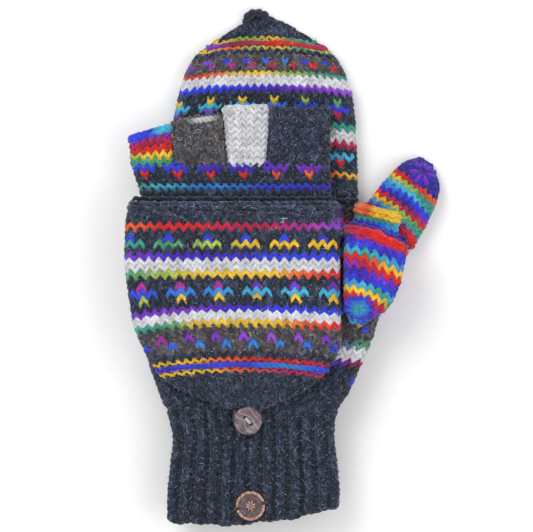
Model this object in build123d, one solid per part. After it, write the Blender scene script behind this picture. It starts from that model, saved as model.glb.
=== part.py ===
"""A pair of knitted convertible flip-top mittens lying flat, the left one on top of the right one.

Frame: millimetres, +Z up from the table, +Y towards the fingertips, +X towards the thumbs.
The left mitten lies back-of-hand up with both flip caps folded open; its big cap is looped onto
the shell button of the cuff. The right mitten lies palm up underneath, with both caps closed.

Each knitted piece is a flattened tube. Its shape is a list of rings, which are flat loops of
fabric at stations along the piece, and its wall is the thickness of one layer of knitting.
"""
from build123d import *
import math
import os
from typing import NamedTuple

# Thicknesses of fabric, lying flat
WALL = 2.2            # one layer of the hand, the caps and the thick part of the thumb
FINE_WALL = 2.0       # one layer of the finger sleeves and the knuckle strip
CUFF_WALL = 2.4       # one layer of ribbing
FULL = 13.4           # both layers of a hand or cap, with room for the sleeves between them
FINE = 8.4            # both layers of a finger sleeve
SLEEVE_INSET = 2.5    # from a hand's flat side to a sleeve's flat side
PLAY = 0.3            # clearance between pieces that move apart
FOLD = 0.2            # distance from the back of the hand to the cap's fold line
MOUTH_GAP = 0.5       # distance along the hand from a fold line to the edges that meet there

# Heights of the two mittens: back of the hand, and the direction from back to palm
LEFT_BACK = 2 * FULL + PLAY
RIGHT_BACK = 0.0
RIGHT_CUFF_RISE = 4.0  # the right cuff lies on its own button and tag

# Fold lines of the big caps, along X
LEFT_FOLD_Y = 35.0
RIGHT_FOLD_Y = 32.5

# Fold lines of the thumb caps: centre, and the lean of the thumb from +Y towards +X
LEFT_THUMB_FOLD = (49.6, 18.0)
LEFT_THUMB_LEAN = 8.0
RIGHT_THUMB_FOLD = (57.4, 23.4)
RIGHT_THUMB_LEAN = 32.0

# Heights along Y where the knitted parts of a hand meet
CUFF_TOP_Y = -74.7
LEFT_CROTCH_Y = -36.8
RIGHT_CROTCH_Y = -30.0
FINGER_ROOT_Y = 54.2

# Where the palm layers of the big caps run out into the back layers
LEFT_PALM_END_Y = -62.0
RIGHT_PALM_END_Y = 121.0

# Rolled rims, along the piece
CAP_RIM = 10.0
THUMB_RIM = 5.0

# Shell button with two holes, and its thread
BUTTON_DIAMETER = 15.0
BUTTON_THICKNESS = 2.3
BUTTON_HOLE_RADIUS = 0.95
BUTTON_HOLE_OFFSET = 2.15
BUTTON_HOLE_ANGLE = 135.0
THREAD_RADIUS = 0.75
SHANK_RADIUS = 1.3
RIGHT_SHANK = 0.5
BUTTON_AT = (-17.6, -80.0)
LOOP_CORD_RADIUS = 1.4
HOOKED_LOOP_RADIUS = 3.7
FREE_LOOP_RADIUS = 3.1
FREE_LOOP_AT = (-14.2, 132.3)
LOOP_RISE = 2.4

# Coin-shaped metal tag with two notches for thread
TAG_DIAMETER = 15.3
TAG_THICKNESS = 1.5
TAG_RIM = 1.3
TAG_RECESS = 0.4
TAG_NOTCH = 1.8
LEFT_TAG_AT = (-16.3, -124.7)
RIGHT_TAG_AT = (-16.3, -114.0)
TAG_NOTCH_ANGLE = 12.0
TAG_THREAD_REACH = 1.6

# Middle of the pair in the layout grid, moved to the origin when the pieces are written
PAIR_MIDDLE = (0.72, 0.97)


class Ring(NamedTuple):
    """A flat loop of fabric: centre, width across, lowest and highest Z, and lean of its normal."""
    x: float
    y: float
    width: float
    low: float
    high: float
    lean: float = 0.0


def along(lean):
    """Unit vector along a piece that leans from +Y towards +X."""
    return Vector(math.sin(math.radians(lean)), math.cos(math.radians(lean)), 0)


def ring_face(ring, inset=0.0, advance=0.0):
    """The ring as a face, made smaller all round, and moved along the piece."""
    normal = along(ring.lean)
    middle = Vector(ring.x, ring.y, (ring.low + ring.high) / 2) + normal * advance
    across = (normal.Y, -normal.X, 0)
    plane = Plane(origin=middle, x_dir=across, z_dir=normal)
    return plane * SlotOverall(ring.width - 2 * inset, ring.high - ring.low - 2 * inset)


def rows(low, high, *stations):
    """Rings across Y from (y, left x, right x) or (y, left x, right x, low z, high z)."""
    rings = []
    for station in stations:
        y, left, right = station[:3]
        bottom, top = station[3:] or (low, high)
        rings.append(Ring((left + right) / 2, y, right - left, bottom, top))
    return rings


def tube(rings, wall):
    """A tube of fabric, open at both ends."""
    hollow = [ring_face(rings[0], wall, -1)]
    hollow += [ring_face(ring, wall) for ring in rings]
    hollow.append(ring_face(rings[-1], wall, 1))
    skin = loft([ring_face(ring) for ring in rings], ruled=True)
    return skin - loft(hollow, ruled=True)


def shouldered(rings, wall, neck):
    """A tube whose hollow narrows at its last ring to the hollow of a fine sleeve, the neck."""
    hollow = [ring_face(rings[0], wall, -1)]
    hollow += [ring_face(ring, wall) for ring in rings[:-1]]
    hollow.append(ring_face(neck, FINE_WALL))
    hollow.append(ring_face(neck, FINE_WALL, 1))
    skin = loft([ring_face(ring) for ring in rings], ruled=True)
    return skin - loft(hollow, ruled=True)


def pocket(rings, wall):
    """A cap: open at its first ring and closed at its last."""
    hollow = [ring_face(rings[0], wall, -1 if rings[1].y > rings[0].y else 1)]
    for ring in rings:
        if ring.high - ring.low > 2 * wall + 2:
            hollow.append(ring_face(ring, wall))
    skin = loft([ring_face(ring) for ring in rings], ruled=True)
    return skin - loft(hollow, ruled=True)


def split_at_height(shape, height):
    """The parts of a shape below and above a height."""
    plane = Plane.XY.offset(height)
    return split(shape, bisect_by=plane, keep=Keep.BOTTOM), split(shape, bisect_by=plane, keep=Keep.TOP)


def split_rim(shape, centre, lean, reach):
    """The rim near a mouth and the rest: reach is the signed distance of the cut from the mouth."""
    normal = along(lean) * (1 if reach > 0 else -1)
    origin = Vector(*centre, 0) + along(lean) * reach
    plane = Plane(origin=origin, z_dir=normal)
    return split(shape, bisect_by=plane, keep=Keep.BOTTOM), split(shape, bisect_by=plane, keep=Keep.TOP)


def blunted(shape, y, direction):
    """A palm layer without the thin wedge beyond a height along Y, where it runs out."""
    plane = Plane(origin=(0, y, 0), z_dir=(0, direction, 0))
    return split(shape, bisect_by=plane, keep=Keep.BOTTOM)


def upright(x, y, z, shape):
    """A shape moved to a point."""
    return Pos(x, y, z) * shape


def button(z_low):
    """Shell disc with a soft edge and two thread holes."""
    disc = Cylinder(BUTTON_DIAMETER / 2, BUTTON_THICKNESS, align=(Align.CENTER, Align.CENTER, Align.MIN))
    disc = fillet(disc.edges(), 0.8)
    for angle in (BUTTON_HOLE_ANGLE, BUTTON_HOLE_ANGLE + 180):
        centre = Vector(BUTTON_HOLE_OFFSET, 0, BUTTON_THICKNESS / 2).rotate(Axis.Z, angle)
        disc -= Pos(*centre) * Cylinder(BUTTON_HOLE_RADIUS, 2 * BUTTON_THICKNESS)
    return upright(*BUTTON_AT, z_low, disc)


def button_thread(z_back, facing):
    """Thread through both holes from the back of the disc, joined across its face.

    The face is up where facing is 1 and down where facing is -1.
    """
    height = BUTTON_THICKNESS + THREAD_RADIUS
    bridge = Box(2 * BUTTON_HOLE_OFFSET, 2 * THREAD_RADIUS, THREAD_RADIUS)
    stitch = Pos(0, 0, BUTTON_THICKNESS + THREAD_RADIUS / 2) * bridge
    for side in (-1, 1):
        stitch += Pos(side * BUTTON_HOLE_OFFSET, 0, height / 2) * Cylinder(THREAD_RADIUS, height)
    stitch = Rot(0, 0, BUTTON_HOLE_ANGLE) * stitch
    if facing < 0:
        stitch = Rot(0, 180, 0) * Rot(0, 0, 2 * BUTTON_HOLE_ANGLE) * stitch
    return upright(*BUTTON_AT, z_back, stitch)


def shank(z_low, z_high):
    """Thread wound between the cuff and the button."""
    post = Cylinder(SHANK_RADIUS, z_high - z_low, align=(Align.CENTER, Align.CENTER, Align.MIN))
    return upright(*BUTTON_AT, z_low, post)


def coin_tag(at, z_low, facing):
    """Metal disc with a raised rim round a sunk field, a raised boss and two notches.

    It faces up where facing is 1 and down where facing is -1.
    """
    bottom = (Align.CENTER, Align.CENTER, Align.MIN)
    disc = Cylinder(TAG_DIAMETER / 2, TAG_THICKNESS, align=bottom)
    field = Cylinder(TAG_DIAMETER / 2 - TAG_RIM, TAG_RECESS, align=bottom)
    field -= Cylinder(TAG_DIAMETER / 5, TAG_RECESS, align=bottom)
    disc -= Pos(0, 0, TAG_THICKNESS - TAG_RECESS) * field
    for angle in (TAG_NOTCH_ANGLE, TAG_NOTCH_ANGLE + 180):
        notch = Pos(TAG_DIAMETER / 2, 0, 0) * Box(2 * TAG_NOTCH, TAG_NOTCH, 3 * TAG_THICKNESS)
        disc -= Rot(0, 0, angle) * notch
    if facing < 0:
        disc = Pos(0, 0, TAG_THICKNESS) * Rot(180, 0, 0) * disc
    return upright(*at, z_low, disc)


def tag_thread(at, z_low, facing):
    """Two stitches, each from inside a notch over to the cuff beside the tag."""
    middle = TAG_DIAMETER / 2
    stitches = []
    for angle in (TAG_NOTCH_ANGLE, TAG_NOTCH_ANGLE + 180):
        stitch = Pos(middle, 0, TAG_THICKNESS / 2) * Box(TAG_THREAD_REACH, TAG_NOTCH / 2, TAG_THICKNESS)
        turn = angle if facing > 0 else -angle
        stitches.append(upright(*at, z_low, Rot(0, 0, turn) * stitch))
    return stitches[0] + stitches[1]


def loop(radius, x, y, z):
    """A yarn loop lying flat."""
    return upright(x, y, z, Torus(radius, LOOP_CORD_RADIUS))


def fingers(low, high, root_y, spans):
    """The four open-ended sleeves, from (root left, root right, tip left, tip right, tip y)."""
    sleeves = {}
    for name, (root_left, root_right, tip_left, tip_right, tip_y) in spans.items():
        rings = rows(low, high, (root_y, root_left, root_right), (tip_y, tip_left, tip_right))
        sleeves[f"{name}_sleeve"] = tube(rings, FINE_WALL)
    return sleeves


def thumb_sleeve(base, bend, shoulder, tip):
    """The thick thumb up to its shoulder at the fold line, and the thin open tip beyond."""
    neck = Ring(shoulder.x, shoulder.y, tip.width, tip.low, tip.high, shoulder.lean)
    thick = shouldered([base, bend, shoulder], WALL, neck)
    return thick + tube([neck, tip], FINE_WALL)


def thumb_cap(fold, lean, direction, low, profile):
    """Rings of a thumb cap from (distance from the fold, sideways shift, width, thickness)."""
    rings = []
    ahead = along(lean)
    aside = Vector(ahead.Y, -ahead.X, 0)
    for distance, shift, width, thickness in profile:
        middle = Vector(*fold, 0) + ahead * (direction * distance) + aside * shift
        rings.append(Ring(middle.X, middle.Y, width, low, low + thickness, lean))
    return rings


def left_mitten():
    """All pieces of the left mitten, back of the hand up."""
    high = LEFT_BACK
    low = high - FULL
    fine_high = high - SLEEVE_INSET
    fine_low = fine_high - FINE
    folded_low = high + 2 * FOLD
    folded_high = folded_low + FULL
    middle = folded_low + FULL / 2
    hand_end = LEFT_FOLD_Y - MOUTH_GAP
    pieces = {}

    hem = Ring(-14.4, -131.0, 88.6, low, high, -5)
    cuff = [hem] + rows(
        low,
        high,
        (-118, -58.6, 30.6),
        (-104, -57.1, 29.4),
        (-90, -57.6, 28.6),
        (CUFF_TOP_Y, -61.3, 29.5),
    )
    pieces["cuff"] = tube(cuff, CUFF_WALL)

    gusset = rows(
        low,
        high,
        (CUFF_TOP_Y, -61.3, 29.5),
        (-65, -65.0, 36.2),
        (-53, -69.4, 41.4),
        (-44, -71.6, 45.6),
        (LEFT_CROTCH_Y, -72.8, 48.6),
    )
    pieces["hand_lower"] = tube(gusset, WALL)

    strip = rows(fine_low, fine_high, (hand_end, -73.6, 27.5), (FINGER_ROOT_Y, -79.4, 26.0))
    hand = rows(
        low,
        high,
        (LEFT_CROTCH_Y, -72.8, 22.2),
        (-10, -73.6, 27.6),
        (10, -73.9, 29.4),
        (28, -73.9, 29.6),
        (hand_end, -73.9, 29.7),
    )
    pieces["hand_upper"] = shouldered(hand, WALL, strip[0])
    pieces["knuckle_strip"] = tube(strip, FINE_WALL)
    spans = {
        "little": (-79.4, -57.0, -79.8, -57.9, 72.6),
        "ring": (-56.2, -28.4, -57.4, -31.5, 78.4),
        "middle": (-28.0, -8.2, -31.1, -6.3, 84.2),
        "index": (-7.6, 25.4, -5.9, 25.6, 83.1),
    }
    pieces.update(fingers(fine_low, fine_high, FINGER_ROOT_Y, spans))

    pieces["thumb_sleeve"] = thumb_sleeve(
        Ring(35.6, LEFT_CROTCH_Y, 26.0, low, high),
        Ring(42.6, -10.0, 27.0, low, high, 8),
        Ring(*LEFT_THUMB_FOLD, 29.0, low, high, LEFT_THUMB_LEAN),
        Ring(50.7, 30.8, 24.6, fine_low, fine_high, 16),
    )

    cap = rows(
        folded_low,
        folded_high,
        (hand_end, -78.2, 30.4),
        (32, -80.4, 30.5),
        (25, -82.0, 31.0),
        (5, -82.8, 31.0),
        (-10, -81.2, 31.0),
        (-27, -78.6, 31.4),
        (-37, -75.4, 32.4, folded_low, folded_high - 0.4),
        (-47, -70.6, 28.8, folded_low, folded_high - 1.4),
        (-56, -64.6, 22.6, folded_low, folded_high - 3.4),
        (-62, -56.6, 16.0, folded_low, folded_high - 6.0),
        (-67, -46.0, 7.1, folded_low, folded_low + 5.0),
        (-71, -36.0, -1.4, folded_low, folded_low + 3.2),
        (-74.8, -24.6, -10.4, folded_low, folded_low + 2.8),
    )
    back, palm = split_at_height(pocket(cap, WALL), middle)
    rim, palm = split_rim(palm, (0, hand_end), 0, -CAP_RIM)
    pieces["cap_back"] = back
    pieces["cap_palm"] = blunted(palm, LEFT_PALM_END_Y, -1)
    pieces["cap_rim"] = rim
    pieces["cap_loop"] = loop(HOOKED_LOOP_RADIUS, *BUTTON_AT, folded_low + LOOP_CORD_RADIUS)

    profile = [
        (MOUTH_GAP, 0.4, 33.4, FULL),
        (12, 0.8, 33.6, FULL),
        (24, 1.1, 30.8, FULL),
        (34, 0.6, 27.0, FULL - 0.8),
        (40, -0.9, 22.0, FULL - 3.0),
        (44.5, -2.7, 14.0, FULL - 6.4),
        (46.5, -3.4, 9.0, FULL - 9.0),
    ]
    thumb = thumb_cap(LEFT_THUMB_FOLD, LEFT_THUMB_LEAN, -1, folded_low, profile)
    back, palm = split_at_height(pocket(thumb, WALL), middle)
    rim, palm = split_rim(palm, LEFT_THUMB_FOLD, LEFT_THUMB_LEAN, -THUMB_RIM - MOUTH_GAP)
    pieces["thumb_cap_back"] = back
    pieces["thumb_cap_palm"] = palm
    pieces["thumb_cap_rim"] = rim

    disc_low = folded_low + 2 * LOOP_CORD_RADIUS + PLAY
    pieces["button"] = button(disc_low)
    pieces["button_thread"] = button_thread(disc_low, 1)
    pieces["button_shank"] = shank(high, disc_low - PLAY)
    pieces["coin_tag"] = coin_tag(LEFT_TAG_AT, high, 1)
    pieces["tag_thread"] = tag_thread(LEFT_TAG_AT, high, 1)
    return pieces


def right_mitten():
    """All pieces of the right mitten, palm up."""
    low = RIGHT_BACK
    high = low + FULL
    fine_low = low + SLEEVE_INSET
    fine_high = fine_low + FINE
    middle = low + FULL / 2
    cuff_low = low + RIGHT_CUFF_RISE
    hand_end = RIGHT_FOLD_Y - MOUTH_GAP
    mouth = RIGHT_FOLD_Y + MOUTH_GAP
    pieces = {}

    cuff = rows(
        cuff_low,
        high,
        (-124, -54.6, 25.0),
        (-104, -53.4, 24.6),
        (-90, -53.0, 24.6),
        (CUFF_TOP_Y, -55.0, 25.0),
    )
    pieces["cuff"] = tube(cuff, CUFF_WALL)

    gusset = rows(
        low,
        high,
        (CUFF_TOP_Y, -55.0, 25.0, cuff_low, high),
        (-64, -58.0, 30.0, low + 0.8, high),
        (-52, -60.6, 35.0, low, high),
        (-40, -61.4, 39.0, low, high),
        (RIGHT_CROTCH_Y, -61.4, 41.4, low, high),
    )
    pieces["hand_lower"] = tube(gusset, WALL)

    strip = rows(fine_low, fine_high, (hand_end, -57.8, 37.6), (FINGER_ROOT_Y, -56.2, 38.0))
    hand = rows(
        low,
        high,
        (RIGHT_CROTCH_Y, -61.4, 13.4),
        (-12, -61.4, 20.6),
        (6, -61.4, 29.4),
        (20, -61.4, 36.0),
        (27, -61.4, 38.6),
        (hand_end, -61.4, 40.4),
    )
    pieces["hand_upper"] = shouldered(hand, WALL, strip[0])
    pieces["knuckle_strip"] = tube(strip, FINE_WALL)
    spans = {
        "little": (-56.0, -36.0, -55.2, -36.6, 71.6),
        "ring": (-35.6, -11.0, -36.2, -12.8, 77.4),
        "middle": (-10.6, 9.4, -12.4, 10.4, 83.2),
        "index": (9.8, 37.8, 10.8, 35.8, 82.1),
    }
    pieces.update(fingers(fine_low, fine_high, FINGER_ROOT_Y, spans))

    pieces["thumb_sleeve"] = thumb_sleeve(
        Ring(27.6, RIGHT_CROTCH_Y, 27.4, low, high),
        Ring(44.6, 0.0, 28.6, low, high, 24),
        Ring(*RIGHT_THUMB_FOLD, 30.0, low, high, RIGHT_THUMB_LEAN),
        Ring(63.6, 33.4, 25.0, fine_low, fine_high, RIGHT_THUMB_LEAN),
    )

    cap = rows(
        low,
        high,
        (mouth, -61.3, 40.8),
        (56, -59.4, 40.8),
        (78, -57.6, 39.6),
        (93, -54.6, 37.8),
        (103, -51.4, 34.2, low, high - 0.6),
        (109.5, -48.0, 30.6, low, high - 1.6),
        (115.5, -42.8, 25.6, low, high - 3.2),
        (121, -35.0, 17.4, low, high - 5.2),
        (125, -27.4, 9.6, low, high - 6.8),
        (127.7, -21.4, -1.0, low, high - 8.0),
    )
    back, palm = split_at_height(pocket(cap, WALL), middle)
    rim, palm = split_rim(palm, (0, mouth), 0, CAP_RIM)
    pieces["cap_back"] = back
    pieces["cap_palm"] = blunted(palm, RIGHT_PALM_END_Y, 1)
    pieces["cap_rim"] = rim
    pieces["cap_loop"] = loop(FREE_LOOP_RADIUS, *FREE_LOOP_AT, low + LOOP_RISE)

    profile = [
        (MOUTH_GAP, 0.6, 34.0, FULL),
        (8, 0.6, 33.4, FULL),
        (16, 0.6, 31.6, FULL),
        (24, 0.8, 29.0, FULL),
        (30, 0.4, 25.0, FULL - 1.6),
        (34.4, -0.6, 18.0, FULL - 4.4),
        (36.8, -1.4, 10.0, FULL - 7.6),
    ]
    thumb = thumb_cap(RIGHT_THUMB_FOLD, RIGHT_THUMB_LEAN, 1, low, profile)
    back, palm = split_at_height(pocket(thumb, WALL), middle)
    rim, palm = split_rim(palm, RIGHT_THUMB_FOLD, RIGHT_THUMB_LEAN, THUMB_RIM + MOUTH_GAP)
    pieces["thumb_cap_back"] = back
    pieces["thumb_cap_palm"] = palm
    pieces["thumb_cap_rim"] = rim

    disc_high = cuff_low - PLAY - RIGHT_SHANK
    pieces["button"] = button(disc_high - BUTTON_THICKNESS)
    pieces["button_thread"] = button_thread(disc_high, -1)
    pieces["button_shank"] = shank(disc_high + PLAY, cuff_low)
    pieces["coin_tag"] = coin_tag(RIGHT_TAG_AT, cuff_low - TAG_THICKNESS, -1)
    pieces["tag_thread"] = tag_thread(RIGHT_TAG_AT, cuff_low - TAG_THICKNESS, -1)
    return pieces


def main():
    os.makedirs("parts", exist_ok=True)
    centring = Pos(-PAIR_MIDDLE[0], -PAIR_MIDDLE[1], 0)
    for side, pieces in (("left", left_mitten()), ("right", right_mitten())):
        for name, shape in pieces.items():
            export_step(centring * shape, f"parts/{side}_{name}.step")


main()
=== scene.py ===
"""Looks of the pair of convertible mittens: every knitted piece is knitted stitch by stitch.

A knitted piece follows the rings of its CAD solid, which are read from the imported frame. Lengths in
this script are millimetres until a mesh is written, which is in metres.
"""
import math
from typing import NamedTuple
import bpy
import numpy as np
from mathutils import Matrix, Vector


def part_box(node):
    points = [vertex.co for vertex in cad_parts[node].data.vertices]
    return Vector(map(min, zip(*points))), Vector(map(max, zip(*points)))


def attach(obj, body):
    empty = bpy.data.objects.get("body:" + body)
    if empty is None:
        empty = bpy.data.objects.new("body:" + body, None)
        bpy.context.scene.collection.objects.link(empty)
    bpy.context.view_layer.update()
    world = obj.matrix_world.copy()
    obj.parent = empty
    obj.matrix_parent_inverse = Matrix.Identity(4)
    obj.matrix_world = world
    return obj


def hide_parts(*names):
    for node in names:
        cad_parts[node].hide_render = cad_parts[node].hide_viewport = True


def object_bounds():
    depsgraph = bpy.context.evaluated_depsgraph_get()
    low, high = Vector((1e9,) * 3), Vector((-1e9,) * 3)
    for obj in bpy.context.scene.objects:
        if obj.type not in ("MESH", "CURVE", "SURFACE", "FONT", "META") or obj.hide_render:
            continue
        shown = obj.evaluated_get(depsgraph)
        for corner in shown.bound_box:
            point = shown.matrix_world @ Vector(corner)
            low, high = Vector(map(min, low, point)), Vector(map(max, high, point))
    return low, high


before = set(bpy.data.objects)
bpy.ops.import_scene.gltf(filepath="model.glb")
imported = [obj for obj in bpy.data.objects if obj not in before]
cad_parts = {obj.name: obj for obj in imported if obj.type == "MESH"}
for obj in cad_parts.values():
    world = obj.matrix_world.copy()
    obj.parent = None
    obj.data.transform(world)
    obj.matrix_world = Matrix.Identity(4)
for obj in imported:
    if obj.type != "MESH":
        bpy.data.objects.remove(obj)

CAD_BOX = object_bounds()
MM = 0.001
RNG = np.random.default_rng(7)

SAMPLES = 12                # points of yarn in a stitch
SIDES = 7                   # sides of the yarn
HAIR_POINTS = 3             # rings of points in a loose fibre
HAIR_TRIANGLES = 14
MOST_TRIANGLES = 190000     # past this the fibres are a piece of their own
WALL_MIDDLE = 1.7           # depth of the middle of the knitting under the CAD surface
ROW_PITCH = 3.16
LEAST_HEIGHT = 0.3          # yarn lower than this is pressed flat on the ground
UP = np.array([0.0, 0.0, 1.0])

# Where the thumbs bend and fold: x, y and the lean of the thumb from +Y towards +X
LEFT_THUMB = [(34.9, -37.8, 0), (41.9, -11.0, 8), (48.9, 17.0, 8), (50.0, 29.8, 16)]
RIGHT_THUMB = [(26.9, -31.0, 0), (43.9, -1.0, 24), (56.7, 22.4, 32), (62.9, 32.4, 32)]
LEFT_THUMB_CAP = [(48.9, 17.0, 188), (42.4, -29.0, 188)]
RIGHT_THUMB_CAP = [(56.7, 22.4, 32), (76.2, 53.6, 32)]
LEFT_CUFF = [(-15.1, -132.0, -5), (-15.1, -119.0, 0), (-15.1, -75.7, 0)]

# Colour of each dyeing, and how much pale wool is spun into it
DYES = {
    "charcoal": ("0d1b37", 1.0), "brown": ("4a4446", 1.0), "black": ("0b0c10", 0.1),
    "white": ("dcdde2", 0.12), "red": ("dd1c20", 0.1), "orange": ("f2602c", 0.1),
    "salmon": ("f07a56", 0.1), "yellow": ("f2c42c", 0.1), "lime": ("a6c24a", 0.15),
    "green": ("4ea06e", 0.15), "teal": ("35a396", 0.12), "cyan": ("42b6dc", 0.1),
    "sky": ("2f86e2", 0.1), "blue": ("2c3fe4", 0.1), "indigo": ("3f22c4", 0.1),
    "navy": ("2a2192", 0.15), "purple": ("7a2ecb", 0.1), "violet": ("a04fdc", 0.1),
    "magenta": ("b62a98", 0.1), "crimson": ("c01a50", 0.1), "maroon": ("8c1834", 0.15),
}


def linear(code):
    """Scene-linear colour of a hex code."""
    parts = [int(code[i:i + 2], 16) / 255 for i in (0, 2, 4)]
    return [p / 12.92 if p < 0.04045 else ((p + 0.055) / 1.055) ** 2.4 for p in parts]


PALE_WOOL = np.array([0.030, 0.038, 0.056])     # what a pale stretch adds to flecked yarn
DYED = {name: np.array([*linear(code), fleck]) for name, (code, fleck) in DYES.items()}


def shade(names, place):
    """Colour of self-striping yarn at a place from 0, left, to 1, right."""
    stops = [DYED[name] for name in names.split()]
    if len(stops) == 1:
        return stops[0]
    at = min(max(place, 0.0), 0.9999) * (len(stops) - 1)
    low = int(at)
    mix = at - low
    mix = mix * mix * (3 - 2 * mix)
    return stops[low] * (1 - mix) + stops[low + 1] * mix


# ---------------------------------------------------------------- rings of the CAD solids

def node_points(names):
    """Ends of every edge of the named nodes, in millimetres."""
    starts, ends = [], []
    for name in names:
        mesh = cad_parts[name].data
        points = np.empty(len(mesh.vertices) * 3)
        mesh.vertices.foreach_get("co", points)
        points = points.reshape(-1, 3) / MM
        edges = np.empty(len(mesh.edges) * 2, dtype=int)
        mesh.edges.foreach_get("vertices", edges)
        edges = edges.reshape(-1, 2)
        starts.append(points[edges[:, 0]])
        ends.append(points[edges[:, 1]])
    return np.concatenate(starts), np.concatenate(ends)


class Tube:
    """The rings of a flattened tube along its guides, as widths and heights at each station."""

    def __init__(self, names, guides):
        self.guides = np.array(guides, dtype=float)
        steps = np.hypot(*np.diff(self.guides[:, :2], axis=0).T)
        self.marks = np.concatenate([[0], np.cumsum(steps)])
        self.length = self.marks[-1]
        starts, ends = node_points(names)
        self.stations = np.linspace(0.8, self.length - 0.6, max(4, int(self.length)))
        self.table = np.array([self.cut(starts, ends, at) for at in self.stations])

    def guide(self, at):
        """Middle and lean of the ring at a station."""
        return [np.interp(at, self.marks, self.guides[:, i]) for i in range(3)]

    def cut(self, starts, ends, at):
        """Left, right, low and high of the solid on the plane of a station."""
        x, y, lean = self.guide(at)
        lean = math.radians(lean)
        normal = np.array([math.sin(lean), math.cos(lean), 0])
        across = np.array([normal[1], -normal[0], 0])
        middle = np.array([x, y, 0])
        before = (starts - middle) @ normal
        after = (ends - middle) @ normal
        crossing = before * after < 0
        share = (before[crossing] / (before[crossing] - after[crossing]))[:, None]
        points = starts[crossing] * (1 - share) + ends[crossing] * share
        reach = (points - middle) @ across
        return reach.min(), reach.max(), points[:, 2].min(), points[:, 2].max()

    def reshape(self, *rings):
        """Puts rings of (station, left, right, low, high) in place of its own from the first on."""
        rings = np.array(rings, dtype=float)
        keep = self.stations < rings[0, 0]
        self.stations = np.concatenate([self.stations[keep], rings[:, 0]])
        self.table = np.concatenate([self.table[keep], rings[:, 1:]])

    def ring(self, at, depth):
        """Middle across, straight half, radius and middle height of rings inset by a depth."""
        left, right, low, high = (np.interp(at, self.stations, self.table[:, i]) for i in range(4))
        half = (high - low) / 2
        radius = np.maximum(half - depth, 0.12)
        straight = np.maximum((right - left) / 2 - half, 0.3)
        return (left + right) / 2, straight, radius, (low + high) / 2

    def perimeter(self, at, depth=WALL_MIDDLE):
        """Way round the ring at a station."""
        _, straight, radius, _ = self.ring(at, depth)
        return 4 * straight + 2 * np.pi * radius

    def round_ring(self, at, around, depth):
        """The ring, and for distances round it their side, bend and reach across from its middle."""
        centre, straight, radius, height = self.ring(at, depth)
        whole = 4 * straight + 2 * np.pi * radius
        around = (around + whole / 2) % whole - whole / 2
        way = np.abs(around)
        bend = np.clip((way - straight) / radius, 0, np.pi)
        over = np.minimum(way, straight) + radius * np.sin(bend)
        over = over - np.maximum(way - straight - np.pi * radius, 0)
        return centre, straight, radius, height, np.sign(around), bend, over

    def place(self, at, around, depth=WALL_MIDDLE):
        """Points, outward normals and directions along the tube, from distances round the ring."""
        x, y, lean = self.guide(at)
        lean = np.radians(lean)
        ahead = np.stack([np.sin(lean), np.cos(lean), 0 * lean], -1)
        aside = np.stack([np.cos(lean), -np.sin(lean), 0 * lean], -1)
        centre, _, radius, height, sign, bend, over = self.round_ring(at, around, depth)
        normal = aside * (sign * np.sin(bend))[:, None] + UP * np.cos(bend)[:, None]
        past = at - np.clip(at, 0, self.marks[-1])
        middle = np.stack([x, y, 0 * x], -1) + ahead * past[:, None]
        points = middle + aside * (centre + sign * over)[:, None]
        return points + UP * (height + radius * np.cos(bend))[:, None], normal, ahead

    def side_of(self, at, around, depth=WALL_MIDDLE):
        """How far across the ring a point is, from -1 to 1, and whether it is in the upper half."""
        _, straight, radius, _, sign, bend, over = self.round_ring(at, around, depth)
        return sign * over / (straight + radius), bend < np.pi / 2


class Fabric:
    """A tube as a surface to knit on, with its rows bent by a sag(station, side) in millimetres."""

    def __init__(self, tube, sag=None, depth=WALL_MIDDLE, ribs=0):
        self.tube = tube
        self.sag = sag
        self.depth = depth
        self.ribs = ribs

    def perimeter(self, at):
        return self.tube.perimeter(at, self.depth)

    def at(self, along, around):
        """Points and outward normals."""
        if self.sag is not None:
            side, _ = self.tube.side_of(along, around, self.depth)
            along = along + self.sag(along, side)
        points, normal, _ = self.tube.place(along, around, self.depth)
        if self.ribs:
            wave = np.cos(2 * np.pi * self.ribs * around / self.perimeter(along))
            points = points + normal * (1.0 * wave - 0.5)[:, None]
        return points, normal


class Roll:
    """An edge that rolls outwards, so that the inside of the knitting shows."""

    def __init__(self, tube, at, towards_mouth, reach, height, depth, slant=None):
        self.tube = tube
        self.centre = at
        self.towards = towards_mouth
        self.reach = reach
        self.height = height
        self.depth = depth
        self.slant = slant
        self.radius = math.sqrt((reach * reach + height * height) / 2)

    def perimeter(self, at):
        return self.tube.perimeter(self.centre + 0 * at, self.depth)

    def at(self, along, around):
        """Points and normals; along runs from the mouth towards the body of the piece."""
        station = self.centre + 0 * along
        if self.slant is not None:
            side, _ = self.tube.side_of(station, around, self.depth)
            station = station + self.slant(station, side)
        turn = along / self.radius
        points, normal, ahead = self.tube.place(station, around, self.depth)
        sweep = (self.towards * self.reach * np.sin(turn))[:, None]
        lift = (-self.height * np.cos(turn))[:, None]
        inward = ahead * (-self.towards * np.sin(turn) / self.reach)[:, None]
        inward = inward + normal * (np.cos(turn) / self.height)[:, None]
        inward = inward / np.linalg.norm(inward, axis=1)[:, None]
        return points + ahead * sweep + normal * lift, inward


# ---------------------------------------------------------------- yarn meshes

def unit(vectors):
    """Vectors at length one."""
    return vectors / np.maximum(np.linalg.norm(vectors, axis=-1, keepdims=True), 1e-9)


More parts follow.
